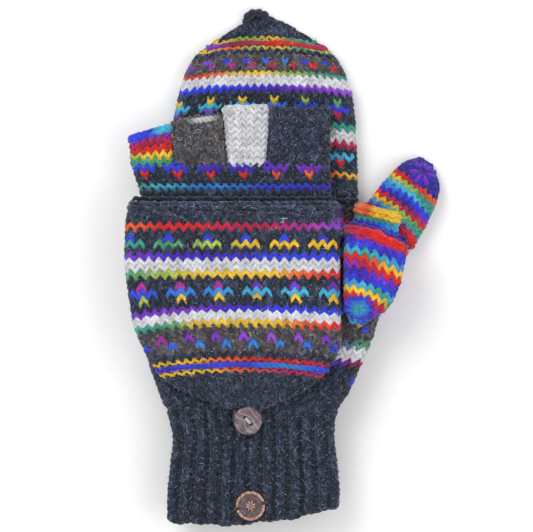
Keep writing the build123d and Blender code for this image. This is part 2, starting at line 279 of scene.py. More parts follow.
class Skein:
    """Collects the yarn, lining and fibres of one piece and writes them as one mesh."""

    def __init__(self):
        self.points, self.dyes = [], []
        self.corners, self.sizes = [], []
        self.bake, self.along = [], []
        self.count = 0
        self.cells = 0
        self.roots = []

    def add(self, points, dyes, corners, sizes, bake, along):
        """Adds faces, with corners counted from this part's first point."""
        self.points.append(points)
        self.dyes.append(dyes)
        self.corners.append(corners + self.count)
        self.sizes.append(sizes)
        self.bake.append(bake)
        self.along.append(along)
        self.count += len(points)

    def yarn(self, path, normal, dye, round_radius, flat_radius, closed):
        """A length of yarn through a path, flattened along the normal."""
        if closed:
            tangent = unit(np.roll(path, -1, 0) - np.roll(path, 1, 0))
        else:
            tangent = unit(np.gradient(path, axis=0))
        beside = unit(np.cross(tangent, normal)) * np.reshape(round_radius, (-1, 1))
        over = unit(np.cross(beside, tangent)) * np.reshape(flat_radius, (-1, 1))
        turn = (2 * np.pi * np.arange(SIDES) / SIDES)[None, :, None]
        points = path[:, None] + np.cos(turn) * beside[:, None] + np.sin(turn) * over[:, None]
        rings = len(path)
        spans = rings if closed else rings - 1
        first = np.arange(spans)[:, None]
        second = (first + 1) % rings
        side = np.arange(SIDES)[None, :]
        following = (side + 1) % SIDES
        faces = [first * SIDES + side, second * SIDES + side]
        faces += [second * SIDES + following, first * SIDES + following]
        faces = np.stack(faces, -1).reshape(-1, 4)
        place = (first % SAMPLES) / SAMPLES + 0 * side
        step = 1 / SAMPLES
        edge = side / SIDES + 0 * first
        local = np.stack([
            np.stack([place, edge], -1), np.stack([place + step, edge], -1),
            np.stack([place + step, edge + 1 / SIDES], -1), np.stack([place, edge + 1 / SIDES], -1),
        ], 2).reshape(-1, 4, 2)
        cell = (self.cells + first // SAMPLES + 0 * side).reshape(-1)
        bake = np.concatenate([local, np.repeat(cell[:, None, None], 4, 1)], 2)
        run = local.copy()
        run[:, :, 0] += (first // SAMPLES + 0 * side).reshape(-1)[:, None]
        corners, sizes = faces.reshape(-1), np.full(len(faces), 4)
        bake, run = bake.reshape(-1, 3), run.reshape(-1, 2)
        if not closed:
            ends = np.concatenate([np.arange(SIDES), (rings - 1) * SIDES + np.arange(SIDES)[::-1]])
            corners = np.concatenate([corners, ends])
            sizes = np.concatenate([sizes, [SIDES, SIDES]])
            bake = np.concatenate([bake, np.tile([0.02, 0.02, self.cells], (2 * SIDES, 1))])
            run = np.concatenate([run, np.zeros((2 * SIDES, 2))])
        self.add(points.reshape(-1, 3), np.repeat(dye, SIDES, 0), corners, sizes, bake, run)
        self.cells += -(-spans // SAMPLES)

    def lining(self, grid, normal, dye, thickness, closed):
        """A closed sheet through the middle of the knitting, whose darker dye shows as painted shade in the
        gaps between stitches: grid is rows of points.
        """
        rows, cols = grid.shape[:2]
        outer = grid + normal * thickness / 2
        inner = grid - normal * thickness / 2
        points = np.concatenate([outer.reshape(-1, 3), inner.reshape(-1, 3)])
        last = cols if closed else cols - 1
        row, col = np.meshgrid(np.arange(rows - 1), np.arange(last), indexing="ij")
        follow = (col + 1) % cols
        a, b = row * cols + col, row * cols + follow
        c, d = (row + 1) * cols + follow, (row + 1) * cols + col
        shift = rows * cols
        faces = [np.stack([a, b, c, d], -1).reshape(-1, 4)]
        faces.append(np.stack([d, c, b, a], -1).reshape(-1, 4) + shift)
        step = np.arange(last)
        borders = [(line * cols + step, line * cols + (step + 1) % cols, line == 0)
                   for line in (0, rows - 1)]
        if not closed:
            down = np.arange(rows - 1) * cols
            borders += [(down + line, down + line + cols, line > 0) for line in (0, cols - 1)]
        for near, far, forward in borders:
            edge = np.stack([near, near + shift, far + shift, far], -1)
            faces.append(edge if forward else edge[:, ::-1])
        faces = np.concatenate(faces)
        spot = np.stack([(faces % shift % cols) / cols, (faces % shift // cols) / rows], -1)
        spot = spot.reshape(-1, 2)
        bake = np.concatenate([spot, np.full((len(spot), 1), -2.0)], 1)
        both = np.concatenate([dye.reshape(-1, 4)] * 2)
        self.add(points, both, faces.reshape(-1), np.full(len(faces), 4), bake, spot * 20)

    def fibres(self, roots, normal, dyes, length, lift, thickness):
        """Loose fibres lying on the knitting, each tapered and bent its own way."""
        count = len(roots)
        if not count:
            return
        heading = unit(np.cross(normal, RNG.normal(size=(count, 3))))
        turning = unit(np.cross(normal, heading)) * RNG.uniform(-1, 1, (count, 1))
        size = RNG.uniform(0.4, 1.0, (count, 1)) * length
        rise = RNG.uniform(0.1, 1.0, (count, 1)) ** 2 * lift
        steps = np.linspace(0, 1, HAIR_POINTS)
        path = [roots + heading * size * t + turning * size * t * t * 0.45
                + normal * rise * math.sin(2.2 * t) for t in steps]
        path = np.stack(path, 1)
        tangent = unit(np.gradient(path, axis=1))
        beside = unit(np.cross(tangent, normal[:, None]))
        over = np.cross(beside, tangent)
        taper = thickness * np.array([0.8, 1.0, 0.35])[None, :, None]
        sides = []
        for k in range(3):
            turn = 2 * math.pi * k / 3 + 0.5
            sides.append(path + taper * (math.cos(turn) * beside + math.sin(turn) * over))
        points = np.stack(sides, 2).reshape(-1, 3)
        base = (np.arange(count) * HAIR_POINTS * 3)[:, None, None]
        ring = (np.arange(HAIR_POINTS - 1) * 3)[None, :, None]
        side = np.arange(3)[None, None, :]
        follow = (side + 1) % 3
        faces = np.stack([base + ring + side, base + ring + 3 + side,
                          base + ring + 3 + follow, base + ring + follow], -1).reshape(-1, 4)
        caps = np.concatenate([base[:, 0] + [0, 1, 2], base[:, 0] + HAIR_POINTS * 3 - 3 + [2, 1, 0]])
        corners = np.concatenate([faces.reshape(-1), caps.reshape(-1)])
        sizes = np.concatenate([np.full(len(faces), 4), np.full(len(caps), 3)])
        owner = corners // (HAIR_POINTS * 3)
        bake = np.stack([owner, 0 * owner + count, 0 * owner - 1.0], -1).astype(float)
        along = np.zeros((len(corners), 2))
        self.add(points, np.repeat(dyes, HAIR_POINTS * 3, 0), corners, sizes, bake, along)

    def bake_layout(self):
        """A place on the unit square for every corner: stitches, then fibres, then the lining."""
        layout = np.concatenate(self.bake)
        grid = max(1, math.ceil(math.sqrt(max(self.cells, 1))))
        kind = layout[:, 2]
        result = np.zeros((len(layout), 2))
        knit = kind >= 0
        column = kind % grid
        line = kind // grid
        result[knit, 0] = ((column + 0.06 + 0.88 * layout[:, 0]) / grid)[knit]
        result[knit, 1] = ((line + 0.06 + 0.88 * layout[:, 1]) / grid * 0.7)[knit]
        hair = kind == -1
        if hair.any():
            side = math.ceil(math.sqrt(layout[hair, 1].max()))
            jitter = np.tile([0.2, 0.8, 0.5, 0.35], len(layout) // 4 + 1)[:len(layout)]
            result[hair, 0] = ((layout[:, 0] % side + jitter) / side)[hair]
            result[hair, 1] = (0.71 + 0.18 * (layout[:, 0] // side + jitter[::-1]) / side)[hair]
        sheet = kind == -2
        result[sheet, 0] = layout[sheet, 0]
        result[sheet, 1] = 0.9 + 0.1 * layout[sheet, 1]
        return np.clip(result, 0, 1)

    def write(self, name, material):
        """The piece as one object, pressed flat where it would sink into the ground."""
        points = np.concatenate(self.points)
        depth = points[:, 2]
        pressed = LEAST_HEIGHT * np.exp(np.minimum(depth / LEAST_HEIGHT - 1, 0))
        points[:, 2] = np.where(depth < LEAST_HEIGHT, pressed, depth)
        points = points * MM
        corners = np.concatenate(self.corners).astype(np.int32)
        sizes = np.concatenate(self.sizes).astype(np.int32)
        mesh = bpy.data.meshes.new(name)
        mesh.vertices.add(len(points))
        mesh.vertices.foreach_set("co", points.astype(np.float32).reshape(-1))
        mesh.loops.add(len(corners))
        mesh.loops.foreach_set("vertex_index", corners)
        mesh.polygons.add(len(sizes))
        starts = np.concatenate([[0], np.cumsum(sizes)[:-1]]).astype(np.int32)
        mesh.polygons.foreach_set("loop_start", starts)
        mesh.polygons.foreach_set("use_smooth", np.ones(len(sizes), dtype=bool))
        for layer, values in (("yarn", np.concatenate(self.along)), ("OFBake", self.bake_layout())):
            uv = mesh.uv_layers.new(name=layer)
            uv.data.foreach_set("uv", values.astype(np.float32).reshape(-1))
        dye = mesh.color_attributes.new("dye", "FLOAT_COLOR", "POINT")
        dye.data.foreach_set("color", np.concatenate(self.dyes).astype(np.float32).reshape(-1))
        mesh.update()
        mesh.validate()
        mesh.materials.append(material)
        piece = bpy.data.objects.new(name, mesh)
        bpy.context.scene.collection.objects.link(piece)
        return piece


# ---------------------------------------------------------------- stitches

class Gauge(NamedTuple):
    """Size of the stitches: half height, lean of the legs, depth and yarn.

    Short stitches stay as short where the tube narrows, and the others stretch to meet.
    """

    reach: float = 2.55
    lean: float = 0.36
    swing: float = 0.55
    yarn: float = 1.12
    flat: float = 0.98
    uneven: float = 1.0
    lift: float = 0.0
    short: bool = False


def way_round(fabric, along):
    """Length of the ring at one station."""
    return fabric.perimeter(np.full(1, float(along)))[0]


def whole_ring(count):
    """Every stitch of a ring is knitted."""
    return np.ones(count, bool)


def runs_of(keep):
    """First stitch and number of stitches of each unbroken run round a ring."""
    count = len(keep)
    firsts = [k for k in range(count) if keep[k] and not keep[k - 1]]
    result = []
    for first in firsts:
        size = 0
        while keep[(first + size) % count]:
            size += 1
        result.append((first, size))
    return result


def heathered(dyes):
    """Flecked yarn is spun of dark and pale wool, so its tone changes along it."""
    grain = RNG.normal(0, 1, (len(dyes), 1))
    grain = 0.7 * (grain + np.roll(grain, 1, 0))
    tone = np.exp(0.6 * dyes[:, 3:4] * grain)
    result = dyes.copy()
    result[:, :3] = result[:, :3] * np.minimum(tone, 1.15) + np.clip(tone - 1.15, 0, 1.3) * PALE_WOOL
    return result


def course(skein, fabric, along, count, shift, gauge, dyes, keep, hairs=0, outside=1):
    """One ring of stitches. dyes and keep have one entry a stitch, from the far side round.

    The fibres grow on the side of the normal, or on the other side where outside is -1.
    """
    station = np.full(1, float(along))
    perimeter = way_round(fabric, along)
    width = perimeter / count
    turn = (2 * np.pi * np.arange(SAMPLES) / SAMPLES)[None, :]
    calm = np.sin(turn / 2) ** 2 * gauge.uneven
    number = (np.arange(count) - count // 2)[:, None]
    x = (number + shift - 0.5 + turn / (2 * np.pi)) * width + gauge.lean * width * np.sin(2 * turn)
    x = x + RNG.normal(0, 0.045, (count, 1)) * width * calm
    y = -gauge.reach * np.cos(turn) * (1 + RNG.normal(0, 0.05, (count, 1)) * calm)
    y = y + RNG.normal(0, 0.12, (count, 1)) * calm
    if gauge.short:
        middles = (number[:, 0] + shift) * width
        ahead, behind = (fabric.at(station + half + 0 * middles, middles)[0] for half in (0.5, -0.5))
        step = ahead - behind
        y = y / np.maximum(np.linalg.norm(step, axis=1), 1.0)[:, None]
    z = gauge.lift - gauge.swing * np.cos(2 * turn) + RNG.normal(0, 0.16, (count, 1)) * calm
    x, y, z = x.reshape(-1), y.reshape(-1), z.reshape(-1)
    place = along + y
    widening = np.clip(fabric.perimeter(place) / perimeter, 0.97, 1.03)
    points, normal = fabric.at(place, x * widening)
    points = points + normal * z[:, None]
    dye = heathered(np.repeat(dyes, SAMPLES, 0))
    if keep.all():
        skein.yarn(points, normal, dye, gauge.yarn, gauge.flat, True)
    else:
        for first, size in runs_of(keep):
            index = (first * SAMPLES + np.arange(size * SAMPLES + 1)) % len(points)
            tint = dye[index].copy()
            tint[-1] = tint[-2]
            skein.yarn(points[index], normal[index], tint, gauge.yarn, gauge.flat, False)
    if hairs:
        allowed = np.flatnonzero(np.repeat(keep, SAMPLES))
        amount = int(hairs * keep.sum())
        if amount and len(allowed):
            pick = RNG.choice(allowed, amount)
            outward = normal[pick] * outside
            skein.roots.append((points[pick] + outward * gauge.flat * 0.8, outward, dye[pick]))


DASHES = Gauge(reach=1.7, lean=0.36, swing=0.5, yarn=0.78, flat=0.7, lift=0.1, short=True)


def twisted_row(skein, fabric, along, count, shift, rule, keep, hairs):
    """Two ends of yarn twisted round each other, lying across the knitting."""
    width = way_round(fabric, along) / count
    for first, size in [(0, count)] if keep.all() else runs_of(keep):
        steps = np.arange(size * SAMPLES + 1) / SAMPLES
        way = (first - count // 2 + shift - 0.5 + steps) * width
        tint = np.array([rule(0, p) for p in place_of(fabric.tube, along, way, fabric.depth)[0]])
        for ply in (0, 1):
            turn = 2 * np.pi * (steps / 1.25 + ply / 2)
            points, normal = fabric.at(along + 0.75 * np.cos(turn), way)
            points = points + normal * (0.75 + 0.6 * np.sin(turn))[:, None]
            skein.yarn(points, normal, tint, 0.95, 0.9, False)
            pick = RNG.integers(0, len(points), int(hairs * size / 2))
            skein.roots.append((points[pick] + normal[pick] * 0.7, normal[pick], tint[pick]))


def lay_row(skein, fabric, along, count, shift, gauge, rule, dyes, keep, hairs):
    """A row as its rule wants it: knitted, or small dashes or a twisted strand on a plain row."""
    kind = getattr(rule, "kind", "knit")
    if kind == "knit":
        course(skein, fabric, along, count, shift, gauge, dyes, keep, hairs)
        return
    ground = gauge._replace(yarn=0.95, flat=0.8, lift=-1.0)
    course(skein, fabric, along, count, shift, ground, np.tile(DYED["charcoal"], (count, 1)), keep)
    if kind == "strand":
        twisted_row(skein, fabric, along, count, shift, rule, keep, hairs)
    else:
        course(skein, fabric, along, count, shift, DASHES, dyes, keep, hairs)


def grow_fibres(skein, length=2.7, lift=0.7, thickness=0.1):
    """Turns the roots left by the courses into fibres, paler ones where the yarn is flecked."""
    if not skein.roots:
        return
    roots = np.concatenate([r[0] for r in skein.roots])
    normal = unit(np.concatenate([r[1] for r in skein.roots]))
    dyes = np.concatenate([r[2] for r in skein.roots]).copy()
    fleck = dyes[:, 3:4]
    pale = RNG.random((len(dyes), 1)) < 0.75 * fleck
    warm = dyes[:, 0:1] > 0.8 * dyes[:, 2:3]
    grey = np.where(warm, (0.42, 0.39, 0.39), (0.22, 0.29, 0.40)) * RNG.uniform(0.3, 1.6, (len(dyes), 1))
    grey = grey + dyes[:, :3] * 0.8
    own = dyes[:, :3] * RNG.uniform(0.7, 1.3, (len(dyes), 1))
    dyes[:, :3] = np.where(pale, grey, own)
    dyes[:, 3] = 0
    skein.fibres(roots, normal, dyes, length, lift, thickness)


def shaded_lining(skein, fabric, start, end, colour_at, share=(-0.5, 0.5), columns=40, thickness=0.5):
    """The lining of a stretch of fabric, dyed darker than its rows as painted shade in the gaps between
    stitches; share is the part of the way round that it covers.
    """
    rows = max(3, int(abs(end - start) / 2.5) + 2)
    closed = share[1] - share[0] > 0.99
    around = np.linspace(share[0], share[1], columns, endpoint=not closed)
    grid, normals, dyes = [], [], []
    for along in np.linspace(start, end, rows):
        place = np.full(columns, along)
        whole = fabric.perimeter(place)
        points, normal = fabric.at(place, around * whole)
        grid.append(points)
        normals.append(normal)
        dyes.append([colour_at(along, a) for a in around])
    # painted shade: the lining takes its rows' colour at 0.45 of its brightness and less fleck, so the gaps
    # between stitches look shaded
    dyes = np.array(dyes) * np.array([0.45, 0.45, 0.45, 0.3])
    skein.lining(np.array(grid)[:, ::-1], np.array(normals)[:, ::-1], dyes[:, ::-1], thickness, closed)


# ---------------------------------------------------------------- charts

def plain(dye):
    """A row in one colour."""
    return lambda number, place: DYED[dye]


def striped(dyes):
    """A row in yarn that changes colour from left to right; a chart names only its dyes."""
    return lambda number, place: shade(dyes, place)


def dashes(dyes):
    """A row of small dashes in yarn that changes colour."""
    rule = striped(dyes)
    rule.kind = "dashes"
    return rule


def strand(dyes):
    """A twisted strand in yarn that changes colour."""
    rule = striped(dyes)
    rule.kind = "strand"
    return rule


def motif(dyes, repeat, phase, reach=0, ground="charcoal"):
    """A row with a coloured stitch, or 2 * reach + 1 of them, every few stitches."""
    def colour(number, place):
        step = (number - phase + repeat // 2) % repeat - repeat // 2
        return shade(dyes, place) if abs(step) <= reach else DYED[ground]
    return colour


LEFT_CAP_CHART = [
    "orange red red crimson crimson magenta violet", "charcoal",
    motif("blue blue blue", 4, 1), motif("teal green lime yellow yellow yellow", 4, 1, 1),
    "charcoal", "purple indigo indigo blue blue", "white", "white",
    "green lime yellow yellow yellow orange red", "charcoal",
    motif("magenta magenta purple purple", 4, 2), motif("blue sky cyan cyan", 4, 2, 1),
    motif("lime yellow yellow yellow", 4, 2), "charcoal",
    "purple purple indigo blue blue", "white", "white",
    "teal green yellow yellow yellow orange red", "brown",
    motif("magenta purple violet purple", 3, 0, ground="brown"),
    motif("blue sky sky blue", 3, 1, ground="brown"), "brown", "charcoal",
    dashes("yellow yellow orange red red crimson"), strand("indigo blue blue sky blue"),
    dashes("yellow yellow orange crimson crimson"),
]
RIGHT_CAP_CHART = [
    dashes("red orange orange orange orange orange yellow"), "charcoal",
    motif("red red", 4, 1), motif("sky blue cyan", 4, 1, 1), "charcoal",
    "maroon maroon crimson", "white", "white",
    "lime green green teal", "charcoal",
    motif("purple violet magenta maroon crimson", 4, 1), motif("cyan cyan sky blue blue", 4, 1, 1),
    motif("yellow yellow yellow lime green", 4, 1), "charcoal",
    "blue blue indigo purple violet", "white", "white",
    dashes("red orange yellow yellow lime green teal"), "brown",
    motif("purple magenta crimson red red", 3, 1, ground="brown"),
    motif("violet blue blue sky blue blue", 3, 0, ground="brown"), "brown", "charcoal",
    dashes("yellow orange lime yellow green lime"), strand("purple maroon crimson red red crimson"),
    dashes("yellow lime lime yellow green teal"),
]


def chart_row(chart, row, outside="charcoal"):
    """Rule of a row of a chart, plain before its start and after its end."""
    rule = chart[row] if 0 <= row < len(chart) else outside
    return striped(rule) if isinstance(rule, str) else rule


# ---------------------------------------------------------------- wool

def node(tree, kind, **values):
    """A shader node with some of its settings."""
    made = tree.nodes.new(kind)
    for name, value in values.items():
        setattr(made, name, value)
    return made


def math_node(tree, operation, first, second=None):
    """A Math node; a number or a socket for each input."""
    made = node(tree, "ShaderNodeMath", operation=operation)
    for socket, value in zip(made.inputs, (first, second)):
        if isinstance(value, (int, float)):
            socket.default_value = value
        elif value is not None:
            tree.links.new(value, socket)
    return made.outputs[0]


def mixed(tree, factor, first, second, blend="MIX"):
    """A colour mix; a colour, number or socket for each input."""
    made = node(tree, "ShaderNodeMix", data_type="RGBA", blend_type=blend)
    for socket, value in zip((made.inputs[0], made.inputs[6], made.inputs[7]), (factor, first, second)):
        if isinstance(value, bpy.types.NodeSocket):
            tree.links.new(value, socket)
        else:
            socket.default_value = value
    return made.outputs[2]


def ramp(tree, value, *stops):
    """A grey ramp of (position, level) stops."""
    made = node(tree, "ShaderNodeValToRGB")
    tree.links.new(value, made.inputs[0])
    ends = made.color_ramp.elements
    for index, (position, level) in enumerate(stops):
        stop = ends[index] if index < 2 else ends.new(position)
        stop.position = position
        stop.color = (level, level, level, 1)
    return made.outputs[0]


def preset(made, values):
    """Sets a node's numbers, each named as on its socket."""
    for name, value in values.items():
        made.inputs[name].default_value = value


def noise(tree, vector, scale, detail=3.0, roughness=0.6):
    """A noise texture's value."""
    made = node(tree, "ShaderNodeTexNoise")
    preset(made, {"Scale": scale, "Detail": detail, "Roughness": roughness})
    tree.links.new(vector, made.inputs["Vector"])
    return made.outputs["Fac"]


def bumped(tree, shader, height, distance, strength=0.6):
    """Bump from a height socket."""
    bump = node(tree, "ShaderNodeBump")
    preset(bump, {"Strength": strength, "Distance": distance})
    tree.links.new(height, bump.inputs["Height"])
    tree.links.new(bump.outputs[0], shader.inputs["Normal"])


def wool(name):
    """Spun wool: dyed by the stitches' own colour, with two plies, fibres and pale flecks."""
    material = bpy.data.materials.new(name)
    material.use_nodes = True
    tree = material.node_tree
    tree.nodes.clear()
    dye = node(tree, "ShaderNodeAttribute", attribute_name="dye")
    yarn = node(tree, "ShaderNodeUVMap", uv_map="yarn")
    spot = node(tree, "ShaderNodeTexCoord")
    parts = node(tree, "ShaderNodeSeparateXYZ")
    tree.links.new(yarn.outputs[0], parts.inputs[0])
    twist = math_node(tree, "ADD", math_node(tree, "MULTIPLY", parts.outputs[0], 4.0),
                      math_node(tree, "MULTIPLY", parts.outputs[1], 2.0))
    ply = math_node(tree, "SINE", math_node(tree, "MULTIPLY", twist, 2 * math.pi))
    ply = math_node(tree, "ABSOLUTE", math_node(tree, "MULTIPLY", ply, 1.0))
    stretch = node(tree, "ShaderNodeCombineXYZ")
    tree.links.new(math_node(tree, "MULTIPLY", parts.outputs[0], 5.0), stretch.inputs[0])
    tree.links.new(math_node(tree, "MULTIPLY", twist, 4.0), stretch.inputs[1])
    strand = noise(tree, stretch.outputs[0], 2.4, 4.0, 0.7)
    fine = noise(tree, spot.outputs["Object"], 1900.0, 2.0, 0.6)
    broad = noise(tree, spot.outputs["Object"], 160.0, 2.0, 0.5)
    tone = ramp(tree, strand, (0.28, 0.42), (0.72, 1.45))
    colour = mixed(tree, 1.0, dye.outputs["Color"], tone, "MULTIPLY")
    colour = mixed(tree, 1.0, colour, ramp(tree, broad, (0.3, 0.8), (0.7, 1.18)), "MULTIPLY")
    flecks = ramp(tree, fine, (0.55, 0.0), (0.68, 1.0))
    amount = math_node(tree, "MULTIPLY", flecks, math_node(tree, "MULTIPLY", dye.outputs["Alpha"], 0.42))
    colour = mixed(tree, amount, colour, (0.19, 0.23, 0.31, 1))
    height = math_node(tree, "ADD", math_node(tree, "MULTIPLY", ply, 0.6), strand)
    shader = node(tree, "ShaderNodeBsdfPrincipled")
    preset(shader, {"Roughness": 0.86, "Specular IOR Level": 0.22, "Sheen Weight": 0.22,
                    "Sheen Roughness": 0.5})
    bumped(tree, shader, height, 0.5 * MM, 1.0)
    tree.links.new(colour, shader.inputs["Base Color"])
    out = node(tree, "ShaderNodeOutputMaterial")
    tree.links.new(shader.outputs[0], out.inputs[0])
    return material


WOOLS = {name: wool(name) for name in
         ("charcoal_wool", "brown_wool", "white_wool", "rainbow_wool", "colourwork_wool")}


def place_of(tube, station, around, depth):
    """Place across the page from 0, left, to 1, right, and whether each point is on the upper half."""
    side, upper = tube.side_of(station, around, depth)
    lean = math.radians(float(tube.guide(station)[2]))
    return (1 + side * (1 if math.cos(lean) > 0 else -1)) / 2, upper


def dyes_for(fabric, along, count, shift, rule):
    """Colour of every stitch of a ring, and which of them are on the upper half."""
    tube = fabric.tube
    number = np.arange(count) - count // 2
    flip = 1 if math.cos(math.radians(float(tube.guide(along)[2]))) > 0 else -1
    around = (number + shift) * way_round(fabric, along) / count
    place, upper = place_of(tube, along, around, fabric.depth)
    return np.array([rule(flip * n, p) for n, p in zip(number, place)]), upper


def settle(piece, body, slot, *nodes):
    """The piece rides on a body and stands for its CAD nodes, if it has any."""
    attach(piece, body)
    if nodes:
        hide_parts(*nodes)


def finish(skein, name, body, slot, *nodes):
    """Adds the fibres, as a piece of their own where the stitches are many, and settles the pieces."""
    roots = sum(len(r[0]) for r in skein.roots)
    stitches = 2 * sum(len(sizes) for sizes in skein.sizes)
    fuzz = Skein() if stitches + HAIR_TRIANGLES * roots > MOST_TRIANGLES else skein
    fuzz.roots = skein.roots
    grow_fibres(fuzz)
    settle(skein.write(name, WOOLS[slot]), body, slot, *nodes)
    if fuzz is not skein:
        settle(fuzz.write(f"{name}_fuzz", WOOLS[slot]), body, slot)


def edging(skein, fabric, along, dye):
    """A cast-off edge: yarn wound round the last ring."""
    coil, radius, pitch = 0.95, 1.0, 4.6
    whole = way_round(fabric, along)
    turns = max(4, round(whole / pitch))
    steps = turns * SAMPLES
    way = np.arange(steps) / steps * whole
    turn = 2 * np.pi * turns * way / whole
    points, normal = fabric.at(along + coil * np.cos(turn), way)
    points = points + normal * (coil * 0.8 * np.sin(turn))[:, None]
    tint = np.array([dye(0, p) for p in place_of(fabric.tube, along, way, fabric.depth)[0]])
    skein.yarn(points, normal, tint, radius, radius, True)


def even_rows(start, end, pitch):
    """Stations of the rows that fill a stretch of tube."""
    rows = max(2, round((end - start) / pitch))
    return start + (np.arange(rows) + 0.5) * (end - start) / rows


def knit(node, slot, tube, rule_of, count, shift=0.0, gauge=Gauge(), sag=None, hairs=3,
         start_edge=None, depth=WALL_MIDDLE, ribs=0):
    """A whole tube of knitting for one node. rule_of(row) gives the colours of a row; with ribs, the
    stitches in the rib valleys are dyed darker as painted shade.
    """
    fabric = Fabric(tube, sag, depth, ribs)
    stations = even_rows(0.0, tube.length, ROW_PITCH)
    skein = Skein()
    for row, along in enumerate(stations):
        rule = rule_of(row)
        dyes, _ = dyes_for(fabric, along, count, shift, rule)
        if ribs:
            # painted shade: every other stitch, in the valleys between the ribs, is dyed at 0.6 of its
            # colour and fleck, as the shade between the ribs
            dyes[(np.arange(count) - count // 2) % 2 == 1] *= (0.6, 0.6, 0.6, 0.6)
        lay_row(skein, fabric, along, count, shift, gauge, rule, dyes, whole_ring(count), hairs)

    def inside(along, around):
        place = place_of(tube, along, around * way_round(fabric, along), depth)[0]
        return rule_of(nearest_row(stations, along))(round(around * count), float(place))

    shaded_lining(skein, fabric, 0.4, tube.length - 0.4, inside)
    if start_edge is not None:
        edging(skein, fabric, 0.9, start_edge)
    finish(skein, f"{node}_knit", body_of(node), slot, node)


def nearest_row(stations, along):
    """Number of the row at or just past a station."""
    return int(np.clip(np.searchsorted(stations, along), 0, len(stations) - 1))


def body_of(node):
    """The mitten that a node of the hand belongs to."""
    return f"{node.split('_')[0]}_mitten"


def box_of(node_name):
    """Lowest and highest corner and middle of a node, in millimetres."""
    low, high = (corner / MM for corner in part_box(node_name))
    return low, high, (low + high) / 2


def straight_tube(node_name):
    """A tube along Y that reaches over its node's box."""
    low, high, _ = box_of(node_name)
    return Tube([node_name], [(0, low.y, 0), (0, high.y, 0)])


# ---------------------------------------------------------------- hands

def cuff(side):
    """The ribbed cuff, with painted shade dyed into the valleys between its ribs."""
    name = f"{side}_cuff"
    tube = Tube([name], LEFT_CUFF) if side == "left" else straight_tube(name)
    if side == "left":
        spread = np.clip((44 - tube.stations) / 18, 0, 1)
        tube.table[:, 0] -= 2.6 * spread
        tube.table[:, 1] += 1.2 * spread
    ribs = 26 if side == "left" else 24
    rib = Gauge(reach=2.4, lean=0.30, swing=0.6, yarn=1.05, flat=0.95, uneven=1.2)
    knit(name, "charcoal_wool", tube, lambda row: plain("charcoal"), 2 * ribs, gauge=rib, hairs=8,
         start_edge=plain("charcoal"), depth=1.8, sag=hem_wave, ribs=ribs)


def hem_wave(along, side):
    """The hem hangs lower in the middle, in shallow waves."""
    fade = np.exp(-np.maximum(along, 0) / 10)
    return fade * (4.6 * side * side - 1.6 + 0.5 * np.sin(side * 9 + 0.6) + 0.4 * np.sin(side * 23))


GUSSET_CHART = [
    "charcoal", "charcoal", "charcoal", "charcoal", "charcoal",
    motif("blue blue", 7, 4), motif("lime lime red", 5, 2), motif("blue blue", 6, 1),
    "sky teal sky sky blue maroon", "white", "white",
    "green teal purple purple purple green",
]
THUMB_BASE_CHART = [
    "brown", motif("sky sky indigo", 5, 2, ground="brown"),
    motif("yellow yellow yellow indigo", 5, 1, ground="brown"), "brown",
]


def hand_lower(side):
    """The part of the hand between the cuff and the thumb."""
    name = f"{side}_hand_lower"
    slope = (lambda along, across: -2.5 * across) if side == "left" else None
    knit(name, "colourwork_wool", straight_tube(name), lambda row: chart_row(GUSSET_CHART, row, "brown"),
         46, sag=slope)


def hand_upper(side):
    """The part of the hand between the thumb and the fold line, with the left cap's pattern."""
    name = f"{side}_hand_upper"
    knit(name, "colourwork_wool", straight_tube(name), lambda row: chart_row(LEFT_CAP_CHART, row),
         46, hairs=2)


SLEEVE_GAUGE = Gauge(yarn=1.05, flat=0.95)
KNUCKLE_CHART = [
    "charcoal", "charcoal", dashes("teal cyan sky sky blue blue indigo"), "charcoal",
    motif("red red red red orange orange", 4, 1), motif("blue blue indigo indigo purple purple", 4, 1, 1),
]


def knuckle_strip(side):
    """The strip between the fold line and the fingers."""
    name = f"{side}_knuckle_strip"
    knit(name, "colourwork_wool", straight_tube(name), lambda row: chart_row(KNUCKLE_CHART, row),
         48, shift=0.35, hairs=4, gauge=SLEEVE_GAUGE)


LITTLE_CHART = [
    "teal green green", "lime yellow yellow", "red red red",
    "crimson maroon crimson", "purple magenta purple", "indigo purple indigo",
]


def finger(side, which, rule_of, slot, count, lean, hairs, rim=None, edge=None):
    """One open-ended finger sleeve; its tip is higher on the right by twice its lean."""
    name = f"{side}_{which}_sleeve"
    tube = straight_tube(name)
    tube.table[:, :2] += (-0.6, 0.6)

    def slant(along, across):
        return lean * across * np.clip(along / tube.length, 0, 1.2)

    gauge = SLEEVE_GAUGE
    knit_end = tube.length - (2.0 if rim else 0)
    fabric = Fabric(tube, slant, 1.6)
    stations = even_rows(0.0, knit_end, ROW_PITCH)
    skein = Skein()
    for row, along in enumerate(stations):
        dyes, _ = dyes_for(fabric, along, count, 0.0, rule_of(row))
        course(skein, fabric, along, count, 0.0, gauge, dyes, whole_ring(count), hairs)
    last = rule_of(len(stations) - 1)
    shaded_lining(skein, fabric, 0.4, knit_end - 0.2, lambda along, around: last(0, 0.5), columns=24)
    if rim:
        roll = Roll(tube, tube.length - 2.2, 1, 1.5, 1.5, 2.0, slant)
        roll_courses(skein, roll, rim, count, gauge, hairs, 4)
    elif edge:
        twisted_row(skein, fabric, tube.length - 0.9, count, 0.0, edge, whole_ring(count), hairs)
    else:
        edging(skein, fabric, tube.length - 0.9, last)
    finish(skein, f"{name}_knit", body_of(name), slot, name)


def roll_courses(skein, roll, rule, count, gauge, hairs, rows, upper_only=False):
    """The rings of a rolled edge, from inside the roll round its mouth and back over the top."""
    span = 2 * math.pi * roll.radius * 0.86
    for row in range(rows):
        along = 0.5 + (row + 0.2) * span / rows
        dyes, upper = dyes_for(roll, along, count, 0.3 * row, rule)
        keep = upper if upper_only else whole_ring(count)
        course(skein, roll, along, count, 0.3 * row, gauge, dyes, keep, hairs, -1)


